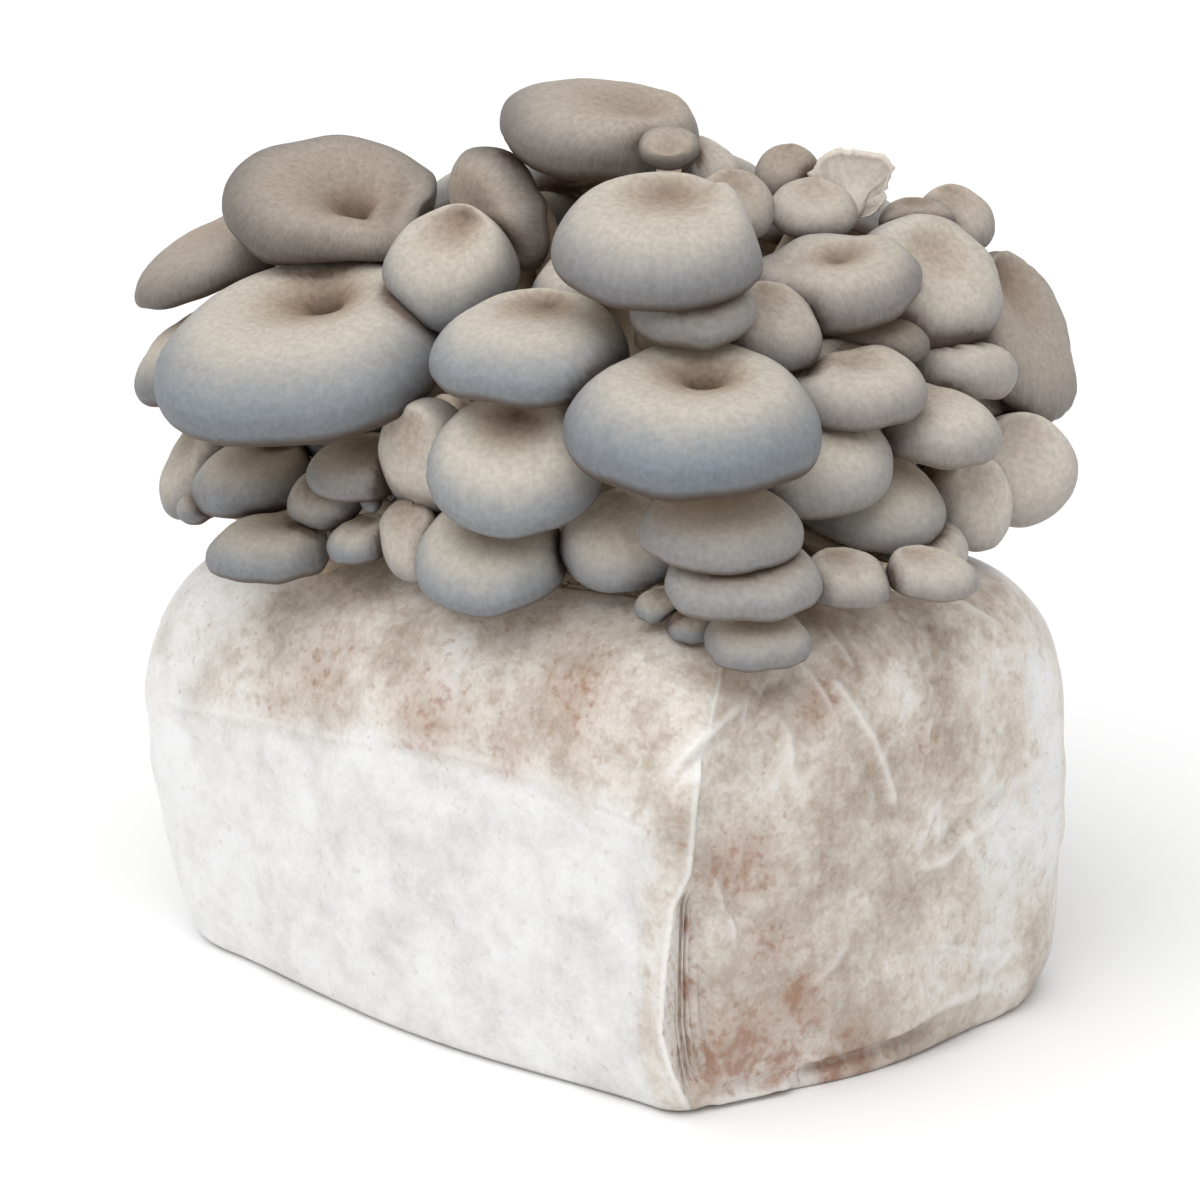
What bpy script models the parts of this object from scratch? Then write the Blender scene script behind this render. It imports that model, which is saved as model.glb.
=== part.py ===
"""Oyster mushroom grow bag: a film bag of colonised substrate with a dense bouquet of mushrooms.

The bag lies on its long side with its base flat on the table. +X runs along the bag towards its
folded end, +Y towards the back and +Z up. The origin is on the table, under the middle of the bag.
Run it with: blender --background --python part.py
"""

import math
from collections import namedtuple

import bmesh
import bpy
from mathutils import Matrix, Vector
from mathutils.bvhtree import BVHTree

MM = 0.001  # the tables below are in millimetres, the model is in metres

# ---------------------------------------------------------------- driving dimensions of the bag
BAG_LENGTH = 272 * MM
BAG_WIDTH = 192 * MM
BAG_HEIGHT = 150 * MM
RISE = 0.04  # the crown slopes up to the folded end: its share of the height over half the length
FILM_THICKNESS = 1.0 * MM
FILM_TO_BLOCK = 1.5 * MM  # film thickness plus the gap that the block keeps to it

# Corner radii in plan. The near corner, where the film is folded, is the crisp one, and it lies
# back from the folded end, which swells out past it.
NEAR_CORNER = 10 * MM
NEAR_CORNER_BACK = 24 * MM
BACK_RIGHT_CORNER = 56 * MM
BACK_LEFT_CORNER = 44 * MM
FRONT_LEFT_CORNER = 28 * MM
CORNER_GROWTH = 0.4  # how much rounder a corner gets for each mm that the side draws in
ROUNDEST_CORNER = 0.95  # of the half width
SIDE_BULGE = 8 * MM  # how far each side swells out between its corners
ARC_STEPS, LONG_SIDE_STEPS, SHORT_SIDE_STEPS = 3, 4, 3  # facets in a corner and along a side

# How far the outline draws in at each height: at the left end, at the folded right end, and along
# the two sides, all in mm.
BagLevel = namedtuple("BagLevel", "height left right side")
BAG_LEVELS = [
    BagLevel(0, 20, 7, 8),
    BagLevel(5, 14, 3, 4),
    BagLevel(22, 8, 1, 2),
    BagLevel(50, 3, 0, 0),
    BagLevel(80, 0, 0, 0),
    BagLevel(100, 0, 1, 2),
    BagLevel(118, 3, 3, 9),
    BagLevel(133, 14, 11, 21),
    BagLevel(143, 34, 28, 36),
    BagLevel(148, 62, 54, 50),
]
OPENING_LEVEL = 9  # the film is cut away above this level

# ---------------------------------------------------------------- the bouquet
# The bouquet is laid out facing the bag's near corner: across is to the right, toward is out over
# that corner, and up is height above the table.
FACING = math.radians(42)

# The mound of fused stalks: half of an ellipsoid that stands on the block.
STEM_BASE_LENGTH = 78 * MM  # from its middle to its end, along the bag
STEM_BASE_WIDTH = 50 * MM  # from its middle to its side
STEM_BASE_TOP = 224 * MM
STEM_BASE_FOOT = 149 * MM
STEM_BASE_SIDES, STEM_BASE_RINGS = 18, 6
SEAT_GAP = 1.2 * MM  # the faceted mound stays just inside the ellipsoid that the stalks are cut to
LEAST_SEAT_RISE = 0.14  # the lowest stalks still join the base this steeply above its foot

# Each mushroom: where the middle of its cap is, in mm; the cap's width, its reach from back to
# front and its thickness, in mm; how far its top leans towards its heading, the heading (0 is
# toward, 90 across to the right) and a sideways roll, in degrees; how far back the pit sits, as a
# share of half the reach, and how far to the right, as a share of half the width; its stalk's radius
# in mm; and how far round the stem base, in degrees, the stalk stands from straight behind the cap.
Mushroom = namedtuple(
    "Mushroom", "name across toward up width reach thick lean heading roll pit pit_side stalk turn"
)
MUSHROOMS = [
    Mushroom("big_left", -101, 19, 217, 95, 92, 25, 17, -40, 3, 0.3, 0, 9, 0),
    Mushroom("upper_left", -91, -29, 251, 70, 67, 17, 21, -20, -8, -0.1, 0.25, 8, 0),
    Mushroom("far_left", -134, -58, 223, 60, 58, 13, 22, -80, 0, 0.5, 0, 7, 0),
    Mushroom("left_shoulder", -141, -33, 199, 43, 43, 17, 27, -75, 0, 0.4, 0, 6, 0),
    Mushroom("mid_left", -52, 30, 241, 42, 41, 17, 41, -20, 0, 0.35, 0.12, 7, 0),
    Mushroom("tall_oval", -41, 5, 247, 44, 36, 15, 85, -50, 0, 0.4, 0, 5, -15),
    Mushroom("crown", -4, -9, 278, 65, 55, 18, 9, 0, -7, -0.1, 0.45, 8, 0),
    Mushroom("crown_bud", 16, 19, 272, 19, 17, 6, -33, 180, 0, 0.7, 0, 3, 0),
    Mushroom("upper_middle", 12, 75, 261, 63, 56, 20, 18, 0, 0, 0.45, 0.15, 8, 0),
    Mushroom("tucked_pale", -12, 27, 235, 35, 33, 11, 22, -30, 10, 0.4, 0, 5, 0),
    Mushroom("under_upper_middle", 23, 81, 240, 37, 31, 14, 15, 10, 0, 0.4, 0, 6, 0),
    Mushroom("middle_left", -27, 69, 227, 60, 57, 18, 9, -20, 0, 0.45, 0, 8, 0),
    Mushroom("big_middle", 23, 105, 216, 78, 72, 23, 12, 0, 0, 0.28, 0.1, 9, 0),
    Mushroom("middle_right", 48, 63, 228, 32, 31, 14, 29, 25, 0, 0.4, 0, 6, 0),
    Mushroom("right_ruffle", 68, 35, 239, 49, 43, 16, 17, 10, 8, 0.25, 0, 7, 0),
    Mushroom("right_dome", 104, 10, 231, 47, 47, 18, 38, 50, 0, 0.45, 0, 7, 0),
    Mushroom("right_fan", 135, -22, 203, 63, 56, 13, 57, 60, 0, 0.6, 0, 8, 0),
    Mushroom("upper_right_lobe", 37, 30, 256, 27, 24, 9, 44, 20, 0, 0.3, 0, 4, 0),
    Mushroom("upper_right", 61, 2, 250, 29, 26, 8, 23, 0, 0, 0.3, 0, 4, 0),
    Mushroom("curled_back", 75, -16, 251, 23, 19, 5, -75, 0, 0, 0.5, 0, 3, 0),
    Mushroom("right_top_back", 110, -26, 241, 27, 25, 9, 34, 30, 0, 0.4, 0, 4, 0),
    Mushroom("right_fold", 73, 64, 212, 43, 39, 13, 16, 20, 0, 0.5, 0, 6, 0),
    Mushroom("right_ledge", 109, 17, 206, 35, 35, 13, 14, 60, 0, 0.5, 0, 6, 0),
    Mushroom("right_pillow", 100, 51, 196, 39, 36, 14, 12, 40, 0, 0.5, 0, 6, 8),
    Mushroom("right_big_shelf", 57, 78, 192, 49, 45, 16, 24, 20, 0, 0.5, 0, 6, 6),
    Mushroom("right_low_shelf", 79, 61, 175, 47, 43, 13, 22, 30, 0, 0.5, 0, 6, 0),
    Mushroom("far_right_round", 134, 11, 169, 38, 40, 14, 38, 70, 0, 0.5, 0, 6, 0),
    Mushroom("right_low_round", 114, 37, 164, 29, 29, 12, 51, 50, 0, 0.5, 0, 5, 0),
    Mushroom("right_bottom", 94, 92, 159, 28, 27, 8, 17, 45, 0, 0.5, 0, 3.5, -3),
    Mushroom("right_front_bottom", 68, 102, 159, 26, 25, 8, 29, 25, 0, 0.5, 0, 4, 2),
    Mushroom("front_shelf", 30, 112, 181, 48, 42, 12, 13, 5, 0, 0.5, 0, 6, 0),
    Mushroom("front_low_shelf", 37, 118, 165, 46, 39, 12, 12, 10, 0, 0.5, 0, 5, 6),
    Mushroom("front_bottom", 41, 124, 150.5, 31, 25, 7, 20, 10, 0, 0.8, 0, 4, 13),
    Mushroom("front_left_shelf", 0, 90, 168, 37, 32, 12, 44, -10, 0, 0.5, 0, 6, -10),
    Mushroom("front_pillow", -32, 88, 191, 53, 48, 17, 39, -15, 0, 0.5, 0, 7, 0),
    Mushroom("beside_pillow", -63, 59, 185, 35, 35, 13, 82, -40, 0, 0.4, 0, 5, 0),
    Mushroom("front_bottom_left", -39, 82, 163, 48, 43, 13, 30, -20, 0, 0.5, 0, 6, 0),
    Mushroom("left_under", -119, -2, 166, 40, 38, 14, 14, -50, 0, 0.5, 0, 6, -4),
    Mushroom("left_edge", -142, -32, 158, 35, 35, 13, 53, -70, 0, 0.4, 0, 5, -6),
    Mushroom("left_bottom", -109, 32, 152, 41, 37, 12, 8, -45, 0, 0.8, 0, 4, -8),
    Mushroom("left_inner", -82, 37, 177, 31, 29, 10, 16, -30, 0, 0.5, 0, 5, 10),
    Mushroom("left_inner_low", -92, 31, 165, 26, 25, 9, 30, -40, 0, 0.5, 0, 4, 5),
    Mushroom("back_high_left", -39, -47, 235, 70, 62, 18, 26, 205, 0, 0.3, 0, 8, 0),
    Mushroom("back_high", 1, -54, 255, 64, 58, 17, 24, 180, 0, 0.3, 0, 8, 0),
    Mushroom("back_high_right", 44, -44, 237, 60, 56, 16, 30, 150, 0, 0.3, 0, 7, 0),
    Mushroom("back_left", -84, -92, 220, 66, 58, 17, 28, 220, 0, 0.35, 0, 8, 0),
    Mushroom("back_upper_left", -42, -108, 230, 66, 60, 17, 34, 195, 0, 0.35, 0, 7, 0),
    Mushroom("back_upper_right", 24, -100, 238, 68, 60, 18, 34, 172, 0, 0.35, 0, 7, 0),
    Mushroom("back_right", 81, -75, 228, 64, 58, 17, 38, 148, 0, 0.35, 0, 7, 0),
    Mushroom("back_far_left", -118, -86, 180, 58, 50, 16, 34, 230, 0, 0.4, 0, 7, 0),
    Mushroom("back_middle_left", -59, -112, 193, 66, 58, 18, 36, 205, 0, 0.4, 0, 7, 0),
    Mushroom("back_middle", -2, -122, 209, 72, 62, 19, 38, 183, 0, 0.4, 0, 8, 0),
    Mushroom("back_middle_right", 56, -104, 197, 64, 56, 17, 42, 158, 0, 0.4, 0, 7, 0),
    Mushroom("back_far_right", 107, -69, 193, 56, 50, 15, 48, 125, 0, 0.4, 0, 7, 0),
    Mushroom("back_low_left", -92, -108, 162, 46, 40, 13, 36, 215, 0, 0.45, 0, 5, 0),
    Mushroom("back_low", -36, -126, 165, 52, 44, 14, 36, 192, 0, 0.45, 0, 6, 0),
    Mushroom("back_low_right", 26, -126, 167, 50, 44, 14, 38, 172, 0, 0.45, 0, 6, 0),
]

CAP_SIDES = 12
SMALL_CAP_SIDES = 9
SMALL_CAP_WIDTH = 49  # mm: narrower caps get fewer facets

# The cap's section, from the pit over the crest, round the inrolled rim and back under the gills.
# Each point is (share of the way from the pit to the rim, height in cap thicknesses).
CAP_SECTION = [(0.30, -0.16), (0.62, 0.00), (0.92, -0.24), (1.00, -0.66), (0.84, -1.00)]
SMALL_CAP_SECTION = [(0.40, -0.06), (0.88, -0.16), (1.00, -0.66), (0.82, -1.00)]
PIT_DEPTH = 0.45  # of the cap's thickness
NECK_DEPTH = 1.15  # of the cap's thickness
STALK_BEND = 1.1  # in cap thicknesses: how far the stalk keeps straight down from the cap
MOST_BEND = 0.45  # and at most this share of the way to the stem base
LEAST_DESCENT = 0.15  # a stalk leaves a low cap aslant, so that it can still bend back to the base
STALK_RINGS = (0, 0.5, 1)  # how far along the stalk each ring sits
SMALL_STALK_RINGS = (0, 1)
NECK_FLARE = 1.3  # the stalk's radius where it meets the gills, as a share of its middle radius
STALK_TAPER = 0.55  # how much of that share it has lost at its foot

# Neighbours grow round each other: a mushroom gives way where an earlier one in the table is.
CLEARANCE = 0.8 * MM
NUDGE = 0.4 * MM  # how far a vertex in the way is drawn in at a time
MOST_NUDGES = 60
LEAST_RADIUS = 2.2 * MM  # no part of a mushroom is drawn in thinner than this


def clear_scene():
    """Start from an empty scene."""
    for obj in list(bpy.data.objects):
        bpy.data.objects.remove(obj)


def principled(name, colour, roughness):
    """A plain Principled BSDF of the given linear colour."""
    material = bpy.data.materials.new(name)
    material.use_nodes = True
    shader = material.node_tree.nodes["Principled BSDF"]
    shader.inputs["Base Color"].default_value = (*colour, 1)
    shader.inputs["Roughness"].default_value = roughness
    shader.inputs["Metallic"].default_value = 0
    return material


def add_object(name, bm, material, collection):
    """Turn a bmesh into a smooth-shaded object of the collection."""
    bmesh.ops.recalc_face_normals(bm, faces=bm.faces)
    mesh = bpy.data.meshes.new(name)
    bm.to_mesh(mesh)
    bm.free()
    mesh.shade_smooth()
    mesh.materials.append(material)
    obj = bpy.data.objects.new(name, mesh)
    collection.objects.link(obj)
    return obj


def ball(sides, rings):
    """A UV sphere with `rings` rings of vertices between its poles.

    Returns the bmesh and its vertices as [top pole], ring by ring downwards, [bottom pole].
    """
    bm = bmesh.new()
    bmesh.ops.create_uvsphere(bm, u_segments=sides, v_segments=rings + 1, radius=1)
    by_height = sorted(bm.verts, key=lambda v: -v.co.z)
    rows = [[by_height[0]]]
    for ring in range(rings):
        row = by_height[1 + ring * sides : 1 + (ring + 1) * sides]
        rows.append(sorted(row, key=lambda v: math.atan2(v.co.y, v.co.x) % math.tau))
    rows.append([by_height[-1]])
    return bm, rows


# ---------------------------------------------------------------- the bag
def bag_outline(level):
    """The bag's rounded rectangle in plan, counter-clockwise from the near right corner."""
    left = -BAG_LENGTH / 2 + level.left * MM
    right = BAG_LENGTH / 2 - level.right * MM
    half_width = BAG_WIDTH / 2 - level.side * MM
    corners = [
        (right - NEAR_CORNER_BACK, -1, -90, NEAR_CORNER, SHORT_SIDE_STEPS),
        (right, 1, 0, BACK_RIGHT_CORNER, LONG_SIDE_STEPS),
        (left, 1, 90, BACK_LEFT_CORNER, SHORT_SIDE_STEPS),
        (left, -1, 180, FRONT_LEFT_CORNER, LONG_SIDE_STEPS),
    ]
    arcs = []
    for end_x, side_y, start, radius, steps_after in corners:
        radius = min(radius + CORNER_GROWTH * level.side * MM, ROUNDEST_CORNER * half_width)
        middle = Vector((end_x - math.copysign(radius, end_x), side_y * (half_width - radius)))
        angles = [math.radians(start + 90 * k / ARC_STEPS) for k in range(ARC_STEPS + 1)]
        arcs.append(([middle + radius * Vector((math.cos(a), math.sin(a))) for a in angles], steps_after))
    points = []
    for (arc, steps), (next_arc, _) in zip(arcs, arcs[1:] + arcs[:1]):
        points += arc
        out = (next_arc[0] - arc[-1]).orthogonal().normalized()
        for k in range(1, steps):
            share = k / steps
            points.append(arc[-1].lerp(next_arc[0], share) - out * SIDE_BULGE * math.sin(math.pi * share))
    return points


def on_slope(height, x):
    """A height of the bag, raised towards its folded end."""
    return height * (1 + RISE * x / (BAG_LENGTH / 2))


def bag_form(levels):
    """The bag's closed outer form up to its crown, as a bmesh and its rows from the crown down."""
    outlines = [bag_outline(level) for level in reversed(levels)]
    bm, rows = ball(len(outlines[0]), len(levels))
    rows[0][0].co = (0, 0, BAG_HEIGHT)
    rows[-1][0].co = (0, 0, 0)
    for row, outline, level in zip(rows[1:-1], outlines, reversed(levels)):
        for vertex, point in zip(row, outline):
            vertex.co = (point.x, point.y, on_slope(level.height * MM, point.x))
    return bm, rows


def make_film(material, collection):
    """The film: the bag's form, open at the top where the bouquet comes out, given a thickness."""
    bm, rows = bag_form(BAG_LEVELS)
    cut_rows = rows[: 1 + len(BAG_LEVELS) - OPENING_LEVEL]
    bmesh.ops.delete(bm, geom=[v for row in cut_rows for v in row], context="VERTS")
    film = add_object("bag_film", bm, material, collection)
    wall = film.modifiers.new("film thickness", "SOLIDIFY")
    wall.thickness = FILM_THICKNESS
    wall.offset = -1
    wall.use_even_offset = True
    return film


def make_block(material, collection):
    """The block of substrate that fills the film."""
    bm, _ = bag_form(BAG_LEVELS)
    block = add_object("substrate_block", bm, material, collection)
    shrink = block.modifiers.new("inside the film", "DISPLACE")
    shrink.strength = -FILM_TO_BLOCK
    shrink.mid_level = 0
    return block


# ---------------------------------------------------------------- the bouquet
def place(across, toward, up):
    """A point of the bouquet's layout, in mm, as a point of the model."""
    return MM * Vector(
        (
            across * math.cos(FACING) + toward * math.sin(FACING),
            across * math.sin(FACING) - toward * math.cos(FACING),
            up,
        )
    )


def cap_axes(mushroom):
    """The cap's left, forward and up directions."""
    heading = math.radians(mushroom.heading)
    out = (place(math.sin(heading), math.cos(heading), 0) / MM).normalized()
    up = Vector((0, 0, 1))
    lean = Matrix.Rotation(math.radians(mushroom.lean), 3, out.cross(up))
    roll = Matrix.Rotation(math.radians(mushroom.roll), 3, out)
    turn = lean.inverted() @ roll
    forward, normal = turn @ out, turn @ up
    return forward.cross(normal), forward, normal


def stem_base_reach(direction):
    """How far the fused stem base reaches from the middle of its foot, in that direction."""
    d = direction.normalized()
    height = STEM_BASE_TOP - STEM_BASE_FOOT
    return 1 / math.sqrt(
        (d.x / STEM_BASE_LENGTH) ** 2 + (d.y / STEM_BASE_WIDTH) ** 2 + (d.z / height) ** 2
    )


def seat_on_base(point):
    """The point moved along its line to the foot's middle until it lies just off the stem base."""
    foot = Vector((0, 0, STEM_BASE_FOOT))
    line = point - foot
    return foot + line.normalized() * (stem_base_reach(line) + SEAT_GAP)


def stalk_seat(neck, turn):
    """Where a stalk from that neck stands on the stem base."""
    foot = Vector((0, 0, STEM_BASE_FOOT))
    line = Matrix.Rotation(math.radians(turn), 3, "Z") @ (neck - foot)
    line.z = max(line.z, LEAST_SEAT_RISE * line.xy.length)
    return seat_on_base(foot + line)


def swollen_tree(bm):
    """A search tree of the closed form, swollen by the clearance that its neighbours keep."""
    bmesh.ops.recalc_face_normals(bm, faces=bm.faces)
    bm.normal_update()
    points = [v.co + v.normal * CLEARANCE * v.calc_shell_factor() for v in bm.verts]
    bm.verts.index_update()
    return BVHTree.FromPolygons(points, [[v.index for v in face.verts] for face in bm.faces])


def give_way(bm, anchors, neighbours, ground):
    """Draw vertices in towards their anchors until the form is clear of every neighbour.

    The first pass stops each vertex where the line from its anchor first meets a neighbour. The
    passes after it draw in the corners of the faces that still cut one, a little at a time.
    """
    for vertex, anchor in anchors.items():
        line = vertex.co - anchor
        for tree in neighbours + ground:
            hit = tree.ray_cast(anchor, line.normalized(), line.length)
            if hit[0] is not None:
                vertex.co = hit[0]
                line = vertex.co - anchor
    for _ in range(MOST_NUDGES):
        bm.verts.index_update()
        bm.faces.ensure_lookup_table()
        own_tree = BVHTree.FromBMesh(bm)
        cut_faces = {own for tree in neighbours + ground for own, _ in own_tree.overlap(tree)}
        moving = {v for index in cut_faces for v in bm.faces[index].verts if v in anchors}
        if not moving:
            return
        for vertex in moving:
            line = anchors[vertex] - vertex.co
            vertex.co += line.normalized() * min(NUDGE, max(line.length - LEAST_RADIUS, 0))


def make_stem_base(material, collection):
    """The mound of fused stalks that the bouquet grows from: the upper half of an ellipsoid."""
    bm, rows = ball(STEM_BASE_SIDES, STEM_BASE_RINGS)
    rows[0][0].co = (0, 0, STEM_BASE_TOP)
    rows[-1][0].co = (0, 0, STEM_BASE_FOOT)
    for ring, row in enumerate(rows[1:-1], 1):
        down = math.radians(90) * ring / STEM_BASE_RINGS
        for k, vertex in enumerate(row):
            turn = math.tau * k / STEM_BASE_SIDES
            x = STEM_BASE_LENGTH * math.sin(down) * math.cos(turn)
            y = STEM_BASE_WIDTH * math.sin(down) * math.sin(turn)
            foot = on_slope(STEM_BASE_FOOT, x)
            vertex.co = (x, y, foot + (STEM_BASE_TOP - foot) * math.cos(down))
    tree = swollen_tree(bm)
    add_object("stem_base", bm, material, collection)
    return tree


def make_mushroom(mushroom, material, collection, neighbours, ground):
    """One mushroom: its cap and its stalk, grown as one piece, down to the stem base."""
    small = mushroom.width < SMALL_CAP_WIDTH
    sides = SMALL_CAP_SIDES if small else CAP_SIDES
    section = SMALL_CAP_SECTION if small else CAP_SECTION
    stalk_rings = SMALL_STALK_RINGS if small else STALK_RINGS
    bm, rows = ball(sides, len(section) + len(stalk_rings))

    left, forward, normal = cap_axes(mushroom)
    middle = place(mushroom.across, mushroom.toward, mushroom.up)
    half_width, half_reach = mushroom.width * MM / 2, mushroom.reach * MM / 2
    thick = mushroom.thick * MM
    pit = middle - forward * half_reach * mushroom.pit - left * half_width * mushroom.pit_side
    turns = [math.tau * k / sides for k in range(sides)]
    rim = [middle + left * half_width * math.cos(t) + forward * half_reach * math.sin(t) for t in turns]
    heart = pit - normal * thick * (PIT_DEPTH + NECK_DEPTH) / 2
    anchors = {}

    rows[0][0].co = pit - normal * thick * PIT_DEPTH
    for row, (share, height) in zip(rows[1:], section):
        for vertex, edge in zip(row, rim):
            vertex.co = pit.lerp(edge, share) + normal * thick * height
            anchors[vertex] = heart

    neck = pit - normal * thick * NECK_DEPTH
    root = stalk_seat(neck, mushroom.turn)
    chord = (root - neck).normalized()
    leaving = (chord * max(0, LEAST_DESCENT + normal.dot(chord)) - normal).normalized()
    bend = neck + leaving * min(thick * STALK_BEND, (root - neck).length * MOST_BEND)
    radius = mushroom.stalk * MM
    for row, share in zip(rows[1 + len(section) :], stalk_rings):
        on_line = neck.lerp(bend, share).lerp(bend.lerp(root, share), share)
        along = (bend - neck).lerp(root - bend, share).normalized()
        aside = (left - along * left.dot(along)).normalized()
        ahead = aside.cross(along)
        ring_radius = radius * (NECK_FLARE - STALK_TAPER * share)
        for vertex, turn in zip(row, turns):
            vertex.co = on_line + ring_radius * (aside * math.cos(turn) + ahead * math.sin(turn))
            anchors[vertex] = on_line
    for vertex in rows[-2]:
        vertex.co = seat_on_base(vertex.co)
        del anchors[vertex]
    rows[-1][0].co = seat_on_base(root)
    give_way(bm, anchors, neighbours, ground)
    neighbours.append(swollen_tree(bm))
    return add_object("mushroom_" + mushroom.name, bm, material, collection)


def main():
    clear_scene()
    collection = bpy.data.collections.new("oyster mushroom grow bag")
    bpy.context.scene.collection.children.link(collection)
    film = principled("clouded film", (0.78, 0.76, 0.72), 0.45)
    mycelium = principled("colonised substrate", (0.74, 0.70, 0.62), 0.8)
    flesh = principled("pale stalk flesh", (0.80, 0.74, 0.66), 0.6)
    skin = principled("grey cap skin", (0.42, 0.39, 0.36), 0.5)
    neighbours, ground = [], [swollen_tree(bag_form(BAG_LEVELS)[0])]
    make_film(film, collection)
    make_block(mycelium, collection)
    ground.append(make_stem_base(flesh, collection))
    for mushroom in MUSHROOMS:
        make_mushroom(mushroom, skin, collection, neighbours, ground)


main()
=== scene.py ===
# %% [markdown]
# # An oyster mushroom grow bag
# This notebook dresses a plain model of a mushroom grow bag: a film bag of sawdust that a white
# mould, the mycelium, has grown through, with one dense bouquet of oyster mushrooms on top.
# The plain solids are the frame. Every one of them is replaced here by a finely shaped piece in the
# same place, worked out with numpy as a function on a grid.

# %% Load the frame
import math
from collections import namedtuple

import bpy
import numpy as np
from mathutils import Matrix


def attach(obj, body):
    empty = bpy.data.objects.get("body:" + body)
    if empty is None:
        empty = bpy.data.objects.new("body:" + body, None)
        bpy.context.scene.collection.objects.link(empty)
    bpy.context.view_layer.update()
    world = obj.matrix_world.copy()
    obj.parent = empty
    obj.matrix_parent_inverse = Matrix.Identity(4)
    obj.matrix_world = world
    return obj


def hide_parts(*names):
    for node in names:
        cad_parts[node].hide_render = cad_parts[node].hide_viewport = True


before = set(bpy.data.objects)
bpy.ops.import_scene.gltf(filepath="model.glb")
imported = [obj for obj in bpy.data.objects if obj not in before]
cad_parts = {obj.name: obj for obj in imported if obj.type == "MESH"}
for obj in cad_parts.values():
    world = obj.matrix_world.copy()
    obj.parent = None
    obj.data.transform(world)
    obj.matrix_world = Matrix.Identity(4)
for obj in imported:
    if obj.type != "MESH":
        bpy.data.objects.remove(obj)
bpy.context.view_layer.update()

MM = 0.001
UP = np.array([0.0, 0.0, 1.0])

# %% [markdown]
# ## The camera
# The photograph looks down at the bag by 17 degrees, with the near corner of the bag towards it.
# A long lens from 1.3 m keeps the sides of the bag nearly parallel, as they are there.

# %% Camera
AZIMUTH, ELEVATION, DISTANCE = math.radians(42), math.radians(17), 1.3
LENS_MM, SENSOR_MM = 121.875, 36
AIM_HEIGHT, AIM_LEFT = 0.1187, 0.005
RIGHT = np.array([math.cos(AZIMUTH), math.sin(AZIMUTH), 0])
TOWARDS_VIEWER = np.array([math.sin(AZIMUTH), -math.cos(AZIMUTH), 0])
BACK = TOWARDS_VIEWER * math.cos(ELEVATION) + UP * math.sin(ELEVATION)
target = np.array([0, 0, AIM_HEIGHT]) - AIM_LEFT * RIGHT

camera_data = bpy.data.cameras.new("camera")
camera_data.lens = LENS_MM
camera_data.sensor_width = SENSOR_MM
camera = bpy.data.objects.new("camera", camera_data)
camera.location = target + BACK * DISTANCE
camera.rotation_euler = (math.radians(90) - ELEVATION, 0, AZIMUTH)
bpy.context.scene.collection.objects.link(camera)
bpy.context.scene.camera = camera
print("camera at", [round(value, 3) for value in camera.location])

# %% [markdown]
# ## Helpers for meshes
# Every piece is a surface with two parameters: it goes round in columns and along in rows, from a
# first point to a last one. Its faces depend only on the two counts, so one function makes them
# all. `foreach_set` copies whole arrays into the mesh, far quicker than making faces one by one.

# %% Mesh helpers
def ring_faces(rows, columns):
    """Faces of a closed surface of rings, with a single point before and after them.

    Ring r, column c is point 1 + r * columns + c. The quads join each ring to the next, and a fan
    of triangles closes each end.
    """
    grid = 1 + np.arange(rows * columns).reshape(rows, columns)
    after = np.roll(grid, -1, axis=1)
    quads = np.stack([grid[:-1], grid[1:], after[1:], after[:-1]], axis=-1).reshape(-1, 4)
    first = np.stack([np.zeros(columns, int), grid[0], after[0]], axis=-1)
    last = np.stack([np.full(columns, 1 + rows * columns), after[-1], grid[-1]], axis=-1)
    return quads, np.concatenate([first, last])


def capped(first, rows, last):
    """A grid of rings as one list of points or values, with a first and a last one."""
    return np.concatenate([[first], rows.reshape(-1, *np.shape(first)), [last]])


def show(obj):
    """Put the object into the scene."""
    bpy.context.scene.collection.objects.link(obj)
    return obj


def add_piece(name, points, shape, material, attributes, flip=False):
    """Make an object of a capped grid of that shape, with one value per point for each attribute.

    flip turns the faces over, for rings that go round the other way.
    """
    mesh = bpy.data.meshes.new(name)
    quads, fans = [faces[:, ::-1] if flip else faces for faces in ring_faces(*shape)]
    corners = np.concatenate([quads.ravel(), fans.ravel()])
    starts = np.concatenate([np.arange(len(quads)) * 4, quads.size + np.arange(len(fans)) * 3])
    mesh.vertices.add(len(points))
    mesh.vertices.foreach_set("co", points.astype(np.float32).ravel())
    mesh.loops.add(len(corners))
    mesh.loops.foreach_set("vertex_index", corners.astype(np.int32))
    mesh.polygons.add(len(starts))
    mesh.polygons.foreach_set("loop_start", starts.astype(np.int32))
    for key, values in attributes.items():
        kind, field = ("FLOAT", "value") if values.ndim == 1 else ("FLOAT_VECTOR", "vector")
        attribute = mesh.attributes.new(key, kind, "POINT")
        attribute.data.foreach_set(field, values.astype(np.float32).ravel())
    mesh.update(calc_edges=True)
    mesh.validate()
    mesh.shade_smooth()
    mesh.materials.append(material)
    return show(bpy.data.objects.new(name, mesh))


# %% [markdown]
# ## Helpers for materials
# Colours are written as they look on a screen, in hex, and turned to the linear values that the
# shader wants. One function adds a node, so that a material reads as a list of what feeds what.

# %% Material helpers
def colour(hex_code):
    """An sRGB hex colour as linear RGBA: each channel goes through the sRGB curve, backwards."""
    channels = np.array([int(hex_code[i : i + 2], 16) for i in (1, 3, 5)]) / 255
    linear = np.where(channels <= 0.04045, channels / 12.92, ((channels + 0.055) / 1.055) ** 2.4)
    return (*linear.tolist(), 1.0)


def fill(tree, target, inputs):
    """Give each input, by name or number, a value, or link another node's output to it."""
    for key, value in inputs.items():
        if isinstance(value, bpy.types.NodeSocket):
            tree.links.new(value, target.inputs[key])
        else:
            target.inputs[key].default_value = value


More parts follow.
